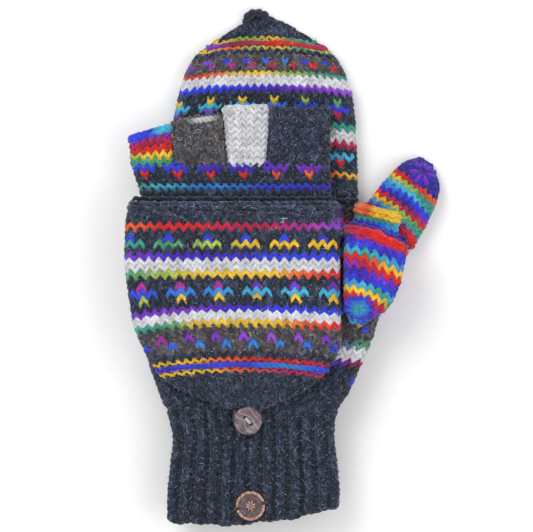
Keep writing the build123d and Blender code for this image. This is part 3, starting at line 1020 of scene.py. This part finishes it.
def fingers(side):
    """The four sleeves."""
    shown = side == "left"
    finger(side, "little", lambda row: chart_row(LITTLE_CHART, row), "rainbow_wool", 11,
           3.2 if shown else 0, 3, striped("blue blue blue cyan cyan") if shown else None)
    finger(side, "ring", lambda row: plain("brown"), "brown_wool", 14, 1.6 if shown else 0, 9,
           edge=striped("brown brown white white brown"))
    finger(side, "middle", lambda row: plain("white"), "white_wool", 12, 0.4 if shown else 0, 8)
    finger(side, "index", lambda row: plain("charcoal"), "charcoal_wool", 16, 0, 9)


# ---------------------------------------------------------------- thumbs

THUMB_ORDER = "blue purple red orange yellow green teal cyan sky blue indigo purple crimson red".split()
THUMB_TIP_CHART = ["purple blue", "indigo blue cyan", "teal teal cyan"]


def thumb_row(row):
    """Dyes of a row of self-striping yarn, which runs into the next row's."""
    first, second = (THUMB_ORDER[(row + step) % len(THUMB_ORDER)] for step in (3, 4))
    return f"{first} {first} {second}"


def thumb_sleeve(side):
    """The thumb up to its rolled tip."""
    name = f"{side}_thumb_sleeve"
    tube = Tube([name], LEFT_THUMB if side == "left" else RIGHT_THUMB)
    gauge = Gauge(yarn=1.08, flat=0.98)
    fabric = Fabric(tube)
    fold = tube.marks[-2]
    stations = list(np.arange(1.6, fold - 1, ROW_PITCH)) + [fold + 1.2, fold + 4.2, fold + 7.2]
    chart = [thumb_row(row) for row in range(len(stations))]
    chart[:len(THUMB_BASE_CHART)] = THUMB_BASE_CHART
    chart[-len(THUMB_TIP_CHART):] = THUMB_TIP_CHART
    skein = Skein()
    for row, along in enumerate(stations):
        count = 15 if along > fold else 16
        dyes, _ = dyes_for(fabric, along, count, 0.0, chart_row(chart, row))
        course(skein, fabric, along, count, 0.0, gauge, dyes, whole_ring(count), 3)
    for first, last in ((0.4, fold - 0.8), (fold + 0.6, tube.length - 1)):
        shaded_lining(skein, fabric, first, last, lambda along, around: DYED["indigo"], columns=28)
    roll = Roll(tube, tube.length - 2.4, 1, 2.2, 1.9, 2.1)
    rim = striped("salmon orange yellow yellow yellow") if side == "left" else striped("red orange")
    roll_courses(skein, roll, rim, 14, gauge, 4, 5)
    finish(skein, f"{name}_knit", body_of(name), "rainbow_wool", name)


LEFT_THUMB_CHART = [
    "indigo purple purple blue", "blue blue indigo blue", "cyan teal cyan sky",
    "red red orange yellow yellow", "purple crimson red red",
    "navy indigo purple indigo", "blue indigo blue blue", "sky cyan teal cyan",
    "yellow yellow yellow yellow green", "red red crimson red",
    "purple purple crimson purple", "blue blue blue purple", "cyan sky blue", "cyan cyan sky",
]
RIGHT_THUMB_CHART = [
    "blue purple blue", "sky cyan teal", "yellow lime green",
    "red crimson red", "indigo navy purple", "sky blue blue",
    "cyan cyan teal", "yellow lime green teal", "red red orange",
]


UPPER_SHARE = (-0.245, 0.245)       # parts of the way round that the palm and back halves cover
LOWER_SHARE = (0.255, 0.745)


def split_knit(side, part, tube, chart, count_of, shift, stations, rim_end, rows_before, gauge, sag,
               hairs, rim, rim_rows, roll, slots, palm_end=None, finish_palm=None, finish_rim=None):
    """A cap in three pieces: the back half, the palm half and the rolled rim of the palm half."""
    body = f"{side}_{part}"
    fabric = Fabric(tube, sag)
    under = Fabric(tube, lambda along, across: sag(along, across) * np.clip(along / 15, 0, 1))
    ground = "charcoal" if part == "cap" else "navy"
    back, palm, edge = Skein(), Skein(), Skein()
    palm_end = tube.length if palm_end is None else palm_end
    for index, along in enumerate(stations):
        row = index - rows_before
        count = count_of(along)
        rule = chart_row(chart, row, ground)
        dyes, upper = dyes_for(fabric, along, count, shift, rule)
        if along > palm_end:
            lay_row(back, fabric, along, count, shift, gauge, rule, dyes, whole_ring(count), hairs)
            continue
        if along > 0:
            lay_row(back, under, along, count, shift, gauge, rule, dyes, ~upper, hairs * 0.6)
        if along > rim_end - 2.2:
            lay_row(palm, fabric, along, count, shift, gauge, rule, dyes, upper, hairs)
    lumpy = gauge._replace(swing=0.8, uneven=2.2)
    roll_courses(edge, roll, rim, count_of(0), lumpy, hairs * 2.2, rim_rows, True)

    def inside(along, around):
        rule = chart_row(chart, nearest_row(stations, along) - rows_before, ground)
        return rule(round(around * count_of(along)), 0.5 + abs(around))

    split = min(palm_end, tube.length - 0.6)
    shaded_lining(palm, fabric, rim_end, split, inside, UPPER_SHARE, 30)
    shaded_lining(back, under, 0.5, split, inside, LOWER_SHARE, 30)
    if palm_end < tube.length:
        shaded_lining(back, fabric, palm_end + 0.2, tube.length - 0.6, inside, columns=30)
    if finish_palm:
        finish_palm(palm)
    if finish_rim:
        finish_rim(edge)
    pieces = ((back, "back", slots[0]), (palm, "palm", slots[0]), (edge, "rim", slots[1]))
    for skein, suffix, slot in pieces:
        finish(skein, f"{side}_{part}_{suffix}_knit", body, slot, f"{side}_{part}_{suffix}")


def cap_nodes(side, part):
    """The three nodes of a cap."""
    return [f"{side}_{part}_{layer}" for layer in ("back", "palm", "rim")]


def thumb_cap(side):
    """The small cap of the thumb."""
    left = side == "left"
    tube = Tube(cap_nodes(side, "thumb_cap"), LEFT_THUMB_CAP if left else RIGHT_THUMB_CAP)
    start, pitch = (1.0, 3.2) if left else (-1.5, 2.74)
    stations = even_rows(start, tube.length, pitch)

    def sag(along, across):
        fade = np.clip((tube.length - along) / 12, 0, 1)
        if left:
            rise = 2.2 * (1 - np.clip(along / 22, 0, 1))
            return fade * (-3.3 * across - rise + 1.8 * across * across)
        return fade * (-1.6 * across - 1.4 * across * across)

    def count_of(along):
        fewer = 3 * sum(along >= tube.length - rest for rest in (10, 6))
        return (14 if left else 17) - fewer

    def star(skein):
        if left:
            gather(skein, tube, (39.6, -22.6), ("cyan cyan sky blue purple", "cyan teal sky blue indigo"))
        else:
            gather(skein, tube, (74.2, 49.8), ("indigo navy indigo indigo", "navy purple purple navy"))

    roll = Roll(tube, 3.4 if left else 0.9, -1, 2.0, 1.5, 2.2, sag)
    split_knit(side, "thumb_cap", tube, LEFT_THUMB_CHART if left else RIGHT_THUMB_CHART, count_of, 0.0,
               stations, 4.5 if left else 2.0, 1, Gauge(yarn=1.15 if left else 1.0, flat=1.0), sag, 4,
               striped("crimson red red red") if left else striped("maroon crimson red"), 5, roll,
               ("rainbow_wool", "rainbow_wool"), finish_palm=star)


# ---------------------------------------------------------------- big caps

def mouth_roll(tube):
    """The rolled edge at a big cap's mouth."""
    return Roll(tube, 5.0, -1, 3.9, 1.5, 2.7)


def narrowing(tube, start, stitch):
    """Stitches round a big cap, fewer from a station on, where a stitch keeps its width."""
    def count_of(along):
        width = np.interp(along, tube.stations, tube.table[:, 1] - tube.table[:, 0])
        return 46 if along < start else max(8, 2 * round(width / stitch))
    return count_of


def left_cap():
    """The big cap that is folded back over the hand."""
    low, high, _ = box_of("left_cap_back")
    tube = Tube(cap_nodes("left", "cap"), [(0, high.y, 180), (0, low.y, 180)])
    rows = np.array([-4, 0, 8, 14, 16, 17, 20, 23, 25, 35])
    marks = np.array([0.4, 12.8, 37.6, 55.5, 60.0, 62.6, 74.0, 82.2, 87.6, 109.6])
    stations = np.interp(np.arange(-4, 36), rows, marks)

    def sag(along, across):
        belt = np.exp(-((along - 58) / 14) ** 2)
        droop = np.where(across > 0, 4.6, 2.4) * across ** 2 * belt
        droop = droop + 3.4 * across ** 2 * np.clip((along - 62) / 18, 0, 1)
        return droop + 0.25 * np.sin(across * 11 + along)

    def violet_wisps(skein):
        wisp(skein, (28.5, 22.4, 37.5), (2.2, 2.0, 1.2), "violet", 60)
        wisp(skein, (24.0, 21.8, 40.2), (4.0, 1.0, 0.4), "violet", 40)

    def pale_fleck(skein):
        wisp(skein, (0.2, 24.6, 41.3), (0.7, 0.5, 0.2), "white", 9)

    split_knit("left", "cap", tube, LEFT_CAP_CHART, narrowing(tube, 84, 5.0), -0.4, stations, 10.0, 4,
               Gauge(reach=2.6, yarn=1.12, flat=1.0), sag, 7, plain("charcoal"), 7, mouth_roll(tube),
               ("colourwork_wool", "charcoal_wool"), palm_end=96.5, finish_palm=violet_wisps,
               finish_rim=pale_fleck)


def right_cap():
    """The big cap that is closed over the fingers."""
    low, high, _ = box_of("right_cap_back")
    tube = Tube(cap_nodes("right", "cap"), [(0, low.y, 0), (0, high.y, 0)])
    tube.reshape((92.0, -28.1, 8.9, 0, 6.6), (94.6, -24.6, 7.0, 0, 5.4), (97.4, -20.6, 0.8, 0, 4.6),
                 (99.4, -17.8, -4.4, 0, 4.2))
    rows = np.array([-6, 0, 10, 14, 17, 20, 24, 27, 29])
    marks = np.array([0.4, 18.0, 49.6, 62.2, 70.0, 76.6, 86.0, 93.8, 98.4])
    stations = np.interp(np.arange(-6, 30), rows, marks)

    def sag(along, across):
        return -2.2 * across ** 4 - 0.8 * across ** 2 + 0.25 * np.sin(across * 9 + along)

    split_knit("right", "cap", tube, RIGHT_CAP_CHART, narrowing(tube, 78, 4.2), 0.1, stations, 10.0, 6,
               Gauge(reach=2.4, yarn=1.05, flat=0.95), sag, 5, plain("charcoal"), 7, mouth_roll(tube),
               ("colourwork_wool", "charcoal_wool"), palm_end=88.0)


# ---------------------------------------------------------------- gathers, loops and wisps

def top_at(tube, x, y):
    """Height of the upper side of a tube above a point, and 1.7 mm less beyond its end."""
    x0, y0, lean = tube.guides[0]
    lean = math.radians(lean)
    along = (x - x0) * math.sin(lean) + (y - y0) * math.cos(lean)
    across = (x - x0) * math.cos(lean) - (y - y0) * math.sin(lean)
    centre, straight, radius, height = (float(v) for v in tube.ring(along, 0.0))
    out = max(abs(across - centre) - straight, 0.0)
    rise = math.sqrt(max(radius * radius - out * out, 0.04))
    past = max(along - tube.length + 2.0, 0.0)
    return height + rise - 0.16 * past * past


def gather(skein, tube, centre, dyes):
    """Stitches drawn together at a point, like the spokes of a wheel, in two dyeings by turns."""
    reach, spokes = 8.2, 14
    share = np.linspace(0.0, 1.0, SAMPLES + 1)
    for k in range(spokes):
        angle = 2 * math.pi * k / spokes + RNG.uniform(-0.05, 0.05)
        lean = math.radians(tube.guides[-1][2])
        towards_end = max(0.0, math.sin(lean) * math.cos(angle) + math.cos(lean) * math.sin(angle))
        size = reach * RNG.uniform(0.86, 1.08) * (1 - 0.4 * towards_end)
        path = []
        for t in share:
            way = 0.3 + (size - 0.3) * t
            x, y = centre[0] + way * math.cos(angle), centre[1] + way * math.sin(angle)
            path.append((x, y, top_at(tube, x, y) - 0.2 - 0.5 * (1 - t) ** 3 - 1.1 * t ** 4))
        path = np.array(path)
        tint = np.array([shade(dyes[k % 2], t) for t in share])
        radius = np.minimum(0.45 + math.pi * reach * share / spokes, 1.35)
        skein.yarn(path, np.tile(UP, (len(path), 1)), tint, radius, 0.8 * radius, False)
        pick = RNG.integers(2, len(share) - 1, 5)
        skein.roots.append((path[pick] + UP * 0.9, np.tile(UP, (5, 1)), tint[pick]))


def twisted_cord(skein, centre_line, radius, pitch=5.0, closed=True, hairs=40):
    """A cord of plied charcoal yarn along a line of points."""
    plies = 2
    steps = np.linalg.norm(np.diff(centre_line, axis=0), axis=1)
    way = np.concatenate([[0], np.cumsum(steps)])
    tangent = unit(np.gradient(centre_line, axis=0))
    if closed:
        tangent = unit(np.roll(centre_line, -1, 0) - np.roll(centre_line, 1, 0))
        pitch = (way[-1] + np.linalg.norm(centre_line[0] - centre_line[-1])) / max(
            1, round(way[-1] / pitch))
    beside = unit(np.cross(tangent, UP))
    over = np.cross(beside, tangent)
    for ply in range(plies):
        turn = (2 * np.pi * (way / pitch + ply / plies))[:, None]
        path = centre_line + radius * 0.5 * (np.cos(turn) * beside + np.sin(turn) * over)
        tint = np.tile(DYED["charcoal"], (len(path), 1))
        skein.yarn(path, over, tint, radius * 0.62, radius * 0.62, closed)
        pick = RNG.integers(0, len(path), hairs // plies)
        spread = unit(RNG.normal(size=(len(pick), 3)))
        skein.roots.append((path[pick] + spread * radius * 0.4, spread, tint[pick]))


def smooth_line(points, count):
    """Points along a smooth curve through a few points."""
    points = np.array(points, dtype=float)
    at = np.linspace(0, len(points) - 1, count)
    result = np.empty((count, 3))
    for n, t in enumerate(at):
        k = min(int(t), len(points) - 2)
        f = t - k
        before, after = points[max(k - 1, 0)], points[min(k + 2, len(points) - 1)]
        a, b = points[k], points[k + 1]
        result[n] = 0.5 * (2 * a + (b - before) * f + (2 * before - 5 * a + 4 * b - after) * f * f
                           + (3 * a - before - 3 * b + after) * f ** 3)
    return result


def cap_loop(side, line, radius, fibre, **settings):
    """The twisted loop of one big cap along a line."""
    skein = Skein()
    twisted_cord(skein, line, radius, **settings)
    grow_fibres(skein, fibre)
    piece = skein.write(f"{side}_cap_loop_cord", WOOLS["charcoal_wool"])
    settle(piece, f"{side}_cap", "charcoal_wool", f"{side}_cap_loop")


def hooked_loop():
    """The loop of the left cap, round the shank under the button."""
    _, _, centre = box_of("left_cap_loop")
    turn = np.linspace(0, 2 * math.pi, 72, endpoint=False)
    line = np.array(centre) + 3.7 * np.stack([np.cos(turn), np.sin(turn), 0 * turn], -1)
    cap_loop("left", line, 1.35, 2.4)


def free_loop():
    """The loop that stands off the tip of the right cap."""
    _, _, centre = box_of("right_cap_loop")
    bends = [(-3.6, -5.0, 0.4), (-4.3, -1.2, 1.8), (-2.6, 2.0, 2.6), (1.2, 2.8, 2.8), (5.0, 1.9, 2.6),
             (6.0, -0.8, 1.8), (4.0, -3.6, 1.2), (1.0, -5.2, 0.6)]
    line = smooth_line([(centre.x + x, centre.y + y, centre.z + z) for x, y, z in bends], 80)
    cap_loop("right", line, 2.1, 3.0, pitch=6.5, closed=False, hairs=150)


def wisp(skein, centre, spread, dye, count):
    """Loose fibres of another colour caught on the knitting."""
    roots = np.array(centre) + RNG.normal(size=(count, 3)) * np.array(spread)
    skein.roots.append((roots, np.tile(UP, (count, 1)), np.tile(DYED[dye] * [1, 1, 1, 0], (count, 1))))


# ---------------------------------------------------------------- buttons and coin tags

FACING = {"left": 1, "right": -1}       # which way each mitten's button and tag look
HOLES_TURN = 135                        # degrees from +X to the line of the button's holes
HOLE_OFFSET = 2.15
HOLE_RADIUS = 0.95
TAG_TURN = 12                           # degrees from +X to the line of the tag's notches
THREAD = 0.36                           # radius of the sewing threads


def principled(name, roughness, metallic=0.0, coat=0.0):
    """A material with a Principled shader and its object coordinates."""
    material = bpy.data.materials.new(name)
    material.use_nodes = True
    tree = material.node_tree
    shader = tree.nodes["Principled BSDF"]
    preset(shader, {"Roughness": roughness, "Metallic": metallic, "Coat Weight": coat})
    return material, tree, shader, node(tree, "ShaderNodeTexCoord").outputs["Object"]


def shell_material():
    """Dark river shell: layered grey and pink-brown bands under a gloss."""
    material, tree, shader, spot = principled("river_shell", 0.32, coat=0.15)
    bands = node(tree, "ShaderNodeTexWave", wave_type="BANDS", bands_direction="DIAGONAL")
    preset(bands, {"Scale": 120, "Distortion": 5, "Detail": 3, "Detail Scale": 1.6})
    tree.links.new(spot, bands.inputs["Vector"])
    cloud = noise(tree, spot, 260.0, 4.0)
    patch = noise(tree, spot, 110.0, 2.0)
    colour = mixed(tree, ramp(tree, cloud, (0.35, 0.0), (0.65, 1.0)), (0.065, 0.05, 0.064, 1),
                   (0.155, 0.128, 0.155, 1))
    colour = mixed(tree, ramp(tree, patch, (0.45, 0.0), (0.6, 0.8)), colour, (0.2, 0.085, 0.085, 1))
    colour = mixed(tree, ramp(tree, bands.outputs["Fac"], (0.86, 0.0), (1.0, 0.45)), colour,
                   (0.5, 0.4, 0.36, 1))
    tree.links.new(colour, shader.inputs["Base Color"])
    bumped(tree, shader, bands.outputs["Fac"], 0.12 * MM)
    return material


def copper_material(name):
    """Antiqued copper, worn bright."""
    material, tree, shader, spot = principled(name, 0.36, metallic=1.0)
    wear = noise(tree, spot, 900.0, 5.0, 0.7)
    colour = mixed(tree, ramp(tree, wear, (0.4, 0.0), (0.56, 1.0)), (0.2, 0.13, 0.11, 1),
                   (0.72, 0.42, 0.29, 1))
    tree.links.new(colour, shader.inputs["Base Color"])
    bumped(tree, shader, wear, 0.06 * MM, 0.5)
    return material, tree, shader, spot, colour


def tag_material(side):
    """Copper that is bright on the rim of the coin tag and dark with patina inside it."""
    rim_radius = 6.32
    _, _, centre = box_of(f"{side}_coin_tag")
    material, tree, shader, spot, bright = copper_material(f"{side}_tag_copper")
    apart = node(tree, "ShaderNodeVectorMath", operation="DISTANCE")
    level = node(tree, "ShaderNodeVectorMath", operation="MULTIPLY")
    level.inputs[1].default_value = (1, 1, 0)
    tree.links.new(spot, level.inputs[0])
    tree.links.new(level.outputs[0], apart.inputs[0])
    apart.inputs[1].default_value = (centre.x * MM, centre.y * MM, 0)
    rim = math_node(tree, "GREATER_THAN", apart.outputs["Value"], rim_radius * MM)
    stain = noise(tree, spot, 500.0, 4.0, 0.7)
    patina = mixed(tree, ramp(tree, stain, (0.35, 0.0), (0.65, 1.0)), (0.085, 0.065, 0.07, 1),
                   (0.2, 0.165, 0.175, 1))
    tree.links.new(mixed(tree, rim, patina, bright), shader.inputs["Base Color"])
    return material


def thread_material(name, colour):
    """Sewing thread: fine twisted filaments."""
    material, tree, shader, _ = principled(name, 0.7)
    yarn = node(tree, "ShaderNodeUVMap", uv_map="yarn")
    parts = node(tree, "ShaderNodeSeparateXYZ")
    tree.links.new(yarn.outputs[0], parts.inputs[0])
    twist = math_node(tree, "ADD", math_node(tree, "MULTIPLY", parts.outputs[0], 9.0),
                      math_node(tree, "MULTIPLY", parts.outputs[1], 3.0))
    strand = math_node(tree, "SINE", math_node(tree, "MULTIPLY", twist, 2 * math.pi))
    dark = tuple(c * 0.55 for c in colour) + (1,)
    tree.links.new(mixed(tree, ramp(tree, strand, (0.1, 0.0), (0.7, 1.0)), dark, colour + (1,)),
                   shader.inputs["Base Color"])
    shader.inputs["Sheen Weight"].default_value = 0.3
    bumped(tree, shader, strand, 0.1 * MM)
    return material


def sew(skein, path, normal, dye, radius=THREAD, flat=None):
    """A length of thread in one colour, open at both ends."""
    tint = np.tile(DYED[dye], (len(path), 1))
    skein.yarn(path, np.tile(normal, (len(path), 1)), tint, radius, radius if flat is None else flat, False)


def direction(turn):
    """Directions out along a turn in degrees, and square to it, in the plane of the table."""
    angle = math.radians(turn)
    out = np.array([math.cos(angle), math.sin(angle), 0])
    return out, np.array([-out[1], out[0], 0])


def button_body(side, material):
    """A cut shell disc: chipped edge, raised ring, dished middle and two thread holes."""
    low, high, centre = box_of(f"{side}_button")
    thick = high.z - low.z
    profile = [(0.0, 0.62), (2.6, 0.64), (4.2, 0.78), (5.4, 0.95), (6.3, 1.0), (7.0, 0.9), (7.4, 0.66),
               (7.5, 0.42), (7.3, 0.14), (6.7, 0.0), (0.0, 0.0)]
    around = 96
    angles = 2 * math.pi * np.arange(around) / around
    chips = 1 - 0.035 * np.maximum(np.sin(angles * 7 + 0.8) * np.sin(angles * 3 + 2.0), 0) ** 2
    chips = chips + 0.008 * np.sin(angles * 4)
    points, faces = [(0.0, 0.0, profile[0][1] * thick)], []
    for radius, level in profile[1:-1]:
        edge = (chips if radius > 5.5 else np.ones(around)) * radius
        points += [(r * math.cos(a), r * math.sin(a), level * thick) for r, a in zip(edge, angles)]
    points.append((0.0, 0.0, 0.0))
    last = len(points) - 1
    foot = last - around
    for k in range(around):
        following = (k + 1) % around
        faces.append((0, 1 + k, 1 + following))
        for a in range(1, foot, around):
            faces.append((a + k, a + around + k, a + around + following, a + following))
        faces.append((last, foot + following, foot + k))
    mesh = bpy.data.meshes.new(f"{side}_button_shell")
    mesh.from_pydata([(x * MM, y * MM, (z - thick / 2) * MM) for x, y, z in points], [], faces)
    piece = bpy.data.objects.new(f"{side}_button_shell", mesh)
    bpy.context.scene.collection.objects.link(piece)
    for sign in (-1, 1):
        angle = math.radians(HOLES_TURN)
        out = sign * HOLE_OFFSET * MM
        bpy.ops.mesh.primitive_cylinder_add(
            vertices=28, radius=HOLE_RADIUS * MM, depth=8 * MM,
            location=(out * math.cos(angle), out * math.sin(angle), 0))
        drill = bpy.context.object
        cut = piece.modifiers.new("hole", "BOOLEAN")
        cut.operation, cut.object, cut.solver = "DIFFERENCE", drill, "EXACT"
        cut_mesh = bpy.data.meshes.new_from_object(
            piece.evaluated_get(bpy.context.evaluated_depsgraph_get()))
        piece.modifiers.clear()
        piece.data = cut_mesh
        bpy.data.objects.remove(drill)
    turn = np.array([FACING[side], 1, FACING[side]])
    for vertex in piece.data.vertices:
        vertex.co = Vector(np.array(vertex.co) * turn) + centre * MM
    piece.data.name = f"{side}_button_shell"
    piece.data.materials.clear()
    piece.data.materials.append(material)
    for face in piece.data.polygons:
        face.use_smooth = True
    piece.data.set_sharp_from_angle(angle=math.radians(40))
    settle(piece, f"{side}_button", "shell", f"{side}_button")


def button_stitches(side, material):
    """Strands of thread from hole to hole."""
    low, high, centre = box_of(f"{side}_button")
    facing = FACING[side]
    line, beside = direction(HOLES_TURN if facing > 0 else 180 - HOLES_TURN)
    face = (high.z if facing > 0 else low.z) - 0.55 * facing
    back = low.z + 0.1 if facing > 0 else high.z - 0.1
    skein = Skein()
    for k, offset in enumerate((-0.42, -0.05, 0.36)):
        lift = facing * (0.62 + 0.22 * (k == 1))
        route = [(-1.75, back), (-1.7, face - facing * 0.4), (-1.3, face + lift * 0.7), (0, face + lift),
                 (1.3, face + lift * 0.7), (1.7, face - facing * 0.4), (1.75, back)]
        middle = np.array([centre.x, centre.y, 0])
        points = [middle + line * t + beside * offset + UP * z for t, z in route]
        sew(skein, smooth_line(points, 3 * SAMPLES + 1), beside, "white")
    piece = skein.write(f"{side}_button_stitches", material)
    settle(piece, f"{side}_button", "white_thread", f"{side}_button_thread")


def button_post(side, material):
    """Thread wound round between the button and the cuff."""
    low, high, centre = box_of(f"{side}_button_shank")
    tall = high.z - low.z
    turns = max(1.5, (tall - 0.3) / 0.62)
    steps = int(turns * SAMPLES * 2)
    turn = 2 * math.pi * turns * np.linspace(0, 1, steps + 1)
    rise = low.z + 0.3 + (tall - 0.6) * np.linspace(0, 1, steps + 1) if tall > 0.7 else (
        np.full(steps + 1, centre.z))
    path = np.stack([centre.x + 0.95 * np.cos(turn), centre.y + 0.95 * np.sin(turn), rise], -1)
    outward = np.stack([np.cos(turn), np.sin(turn), 0 * turn], -1)
    skein = Skein()
    skein.yarn(path, outward, np.tile(DYED["black"], (len(path), 1)), 0.34, 0.34, False)
    middle = np.array([[centre.x, centre.y, z] for z in np.linspace(low.z, high.z, SAMPLES + 1)])
    sew(skein, middle, [1.0, 0, 0], "black", 0.85)
    piece = skein.write(f"{side}_button_post", material)
    settle(piece, f"{side}_mitten", "dark_thread", f"{side}_button_shank")


def tag_relief(side, material):
    """A rosette and two rows of beads raised on the coin tag."""
    low, high, centre = box_of(f"{side}_coin_tag")
    facing = FACING[side]
    top = high.z if facing > 0 else low.z
    skein = Skein()

    def blob(path, radii, flat):
        """A tapered bead of metal along a path."""
        path = np.array([(centre.x + x, centre.y + y, top + facing * z) for x, y, z in path])
        sew(skein, path, UP, "brown", radii, flat)

    share = np.linspace(0, 1, 9)
    swell = np.sin(np.pi * (0.08 + 0.84 * share))
    for k in range(8):
        angle = 2 * math.pi * (k + 0.5) / 8
        way = 0.75 + 2.0 * share
        blob([(w * math.cos(angle), w * math.sin(angle), 0.02) for w in way], 0.52 * swell, 0.3 * swell)
    blob([(0, 0.55 * (2 * t - 1), 0.05) for t in share], 0.6 * swell, 0.36 * swell)
    for k in range(36):
        angle = math.radians(TAG_TURN + 5) + 2 * math.pi * k / 36
        if abs(math.sin(angle - math.radians(TAG_TURN))) < 0.25:
            continue
        x, y = 4.75 * math.cos(angle), 4.75 * math.sin(angle)
        blob([(x * (0.95 + 0.1 * t), y * (0.95 + 0.1 * t), -0.3) for t in share], 0.3 * swell, 0.28 * swell)
    settle(skein.write(f"{side}_coin_relief", material), f"{side}_mitten", "copper")


def tag_stitches(side, material):
    """Black thread through the two notches of the tag."""
    low, high, centre = box_of(f"{side}_coin_tag")
    facing = FACING[side]
    middle = np.array([centre.x, centre.y, 0])
    top, foot = (high.z, low.z) if facing > 0 else (low.z, high.z)
    skein = Skein()
    for half in (0, 180):
        out, beside = direction(facing * TAG_TURN + half)
        for offset in (-0.5, 0.0, 0.5):
            route = [(6.2, foot - 0.3 * facing), (6.3, top - 0.7 * facing), (6.9, top - 0.15 * facing),
                     (7.7, top - 0.1 * facing), (8.5, foot + 0.5 * facing), (8.7, foot - 0.8 * facing)]
            points = [middle + out * r + beside * offset + UP * z for r, z in route]
            sew(skein, smooth_line(points, 2 * SAMPLES + 1), beside, "black")
    piece = skein.write(f"{side}_tag_stitches", material)
    settle(piece, f"{side}_mitten", "dark_thread", f"{side}_tag_thread")


def trimmings():
    """Buttons, coin tags and their threads on both cuffs."""
    shell = shell_material()
    pale = thread_material("white_thread", (0.72, 0.70, 0.66))
    dark = thread_material("dark_thread", (0.02, 0.02, 0.026))
    copper = copper_material("copper")[0]
    for side in ("left", "right"):
        button_body(side, shell)
        button_stitches(side, pale)
        button_post(side, dark)
        metal = tag_material(side)
        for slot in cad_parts[f"{side}_coin_tag"].material_slots:
            slot.material = metal
        tag_relief(side, copper)
        tag_stitches(side, dark)


# ---------------------------------------------------------------- stage

def floor_material():
    """Pale seamless paper."""
    material, tree, shader, spot = principled("paper", 0.9)
    grain = noise(tree, spot, 300.0, 4.0)
    tree.links.new(mixed(tree, ramp(tree, grain, (0.3, 0.0), (0.7, 1.0)), (0.93, 0.93, 0.93, 1),
                         (0.95, 0.95, 0.95, 1)), shader.inputs["Base Color"])
    return material


def stage():
    """Floor, lights and the camera straight above."""
    bpy.ops.mesh.primitive_plane_add(size=4, location=(0, 0, 0))
    floor = bpy.context.object
    floor.name = "floor"
    floor.data.materials.append(floor_material())
    world = bpy.data.worlds.new("studio")
    world.use_nodes = True
    preset(world.node_tree.nodes["Background"], {"Color": (1, 1, 1, 1), "Strength": 0.78})
    bpy.context.scene.world = world
    for name, place, size, power in (
        ("key", (-0.7, 0.8, 1.3), 0.9, 12),
        ("fill", (0.9, -0.3, 1.2), 1.0, 5),
    ):
        light = bpy.data.lights.new(name, "AREA")
        light.size = size
        light.energy = power
        lamp = bpy.data.objects.new(name, light)
        lamp.location = place
        lamp.rotation_euler = (-Vector(place)).to_track_quat("-Z", "Y").to_euler()
        bpy.context.scene.collection.objects.link(lamp)
    camera = bpy.data.cameras.new("camera")
    camera.lens = 300
    camera.sensor_width = 36
    middle = (CAD_BOX[0] + CAD_BOX[1]) / 2
    eye_height = 0.2804 * camera.lens / camera.sensor_width
    eye = bpy.data.objects.new("camera", camera)
    eye.location = (middle.x - 0.0086, middle.y + 0.0001, middle.z + eye_height)
    eye.rotation_euler = (0, 0, 0)
    camera.clip_end = 10
    bpy.context.scene.collection.objects.link(eye)
    bpy.context.scene.camera = eye
    bpy.context.scene.view_settings.view_transform = "Standard"


def main():
    stage()
    for side in ("left", "right"):
        cuff(side)
        hand_lower(side)
        hand_upper(side)
        knuckle_strip(side)
        fingers(side)
        thumb_sleeve(side)
        thumb_cap(side)
    left_cap()
    right_cap()
    hooked_loop()
    free_loop()
    trimmings()


main()
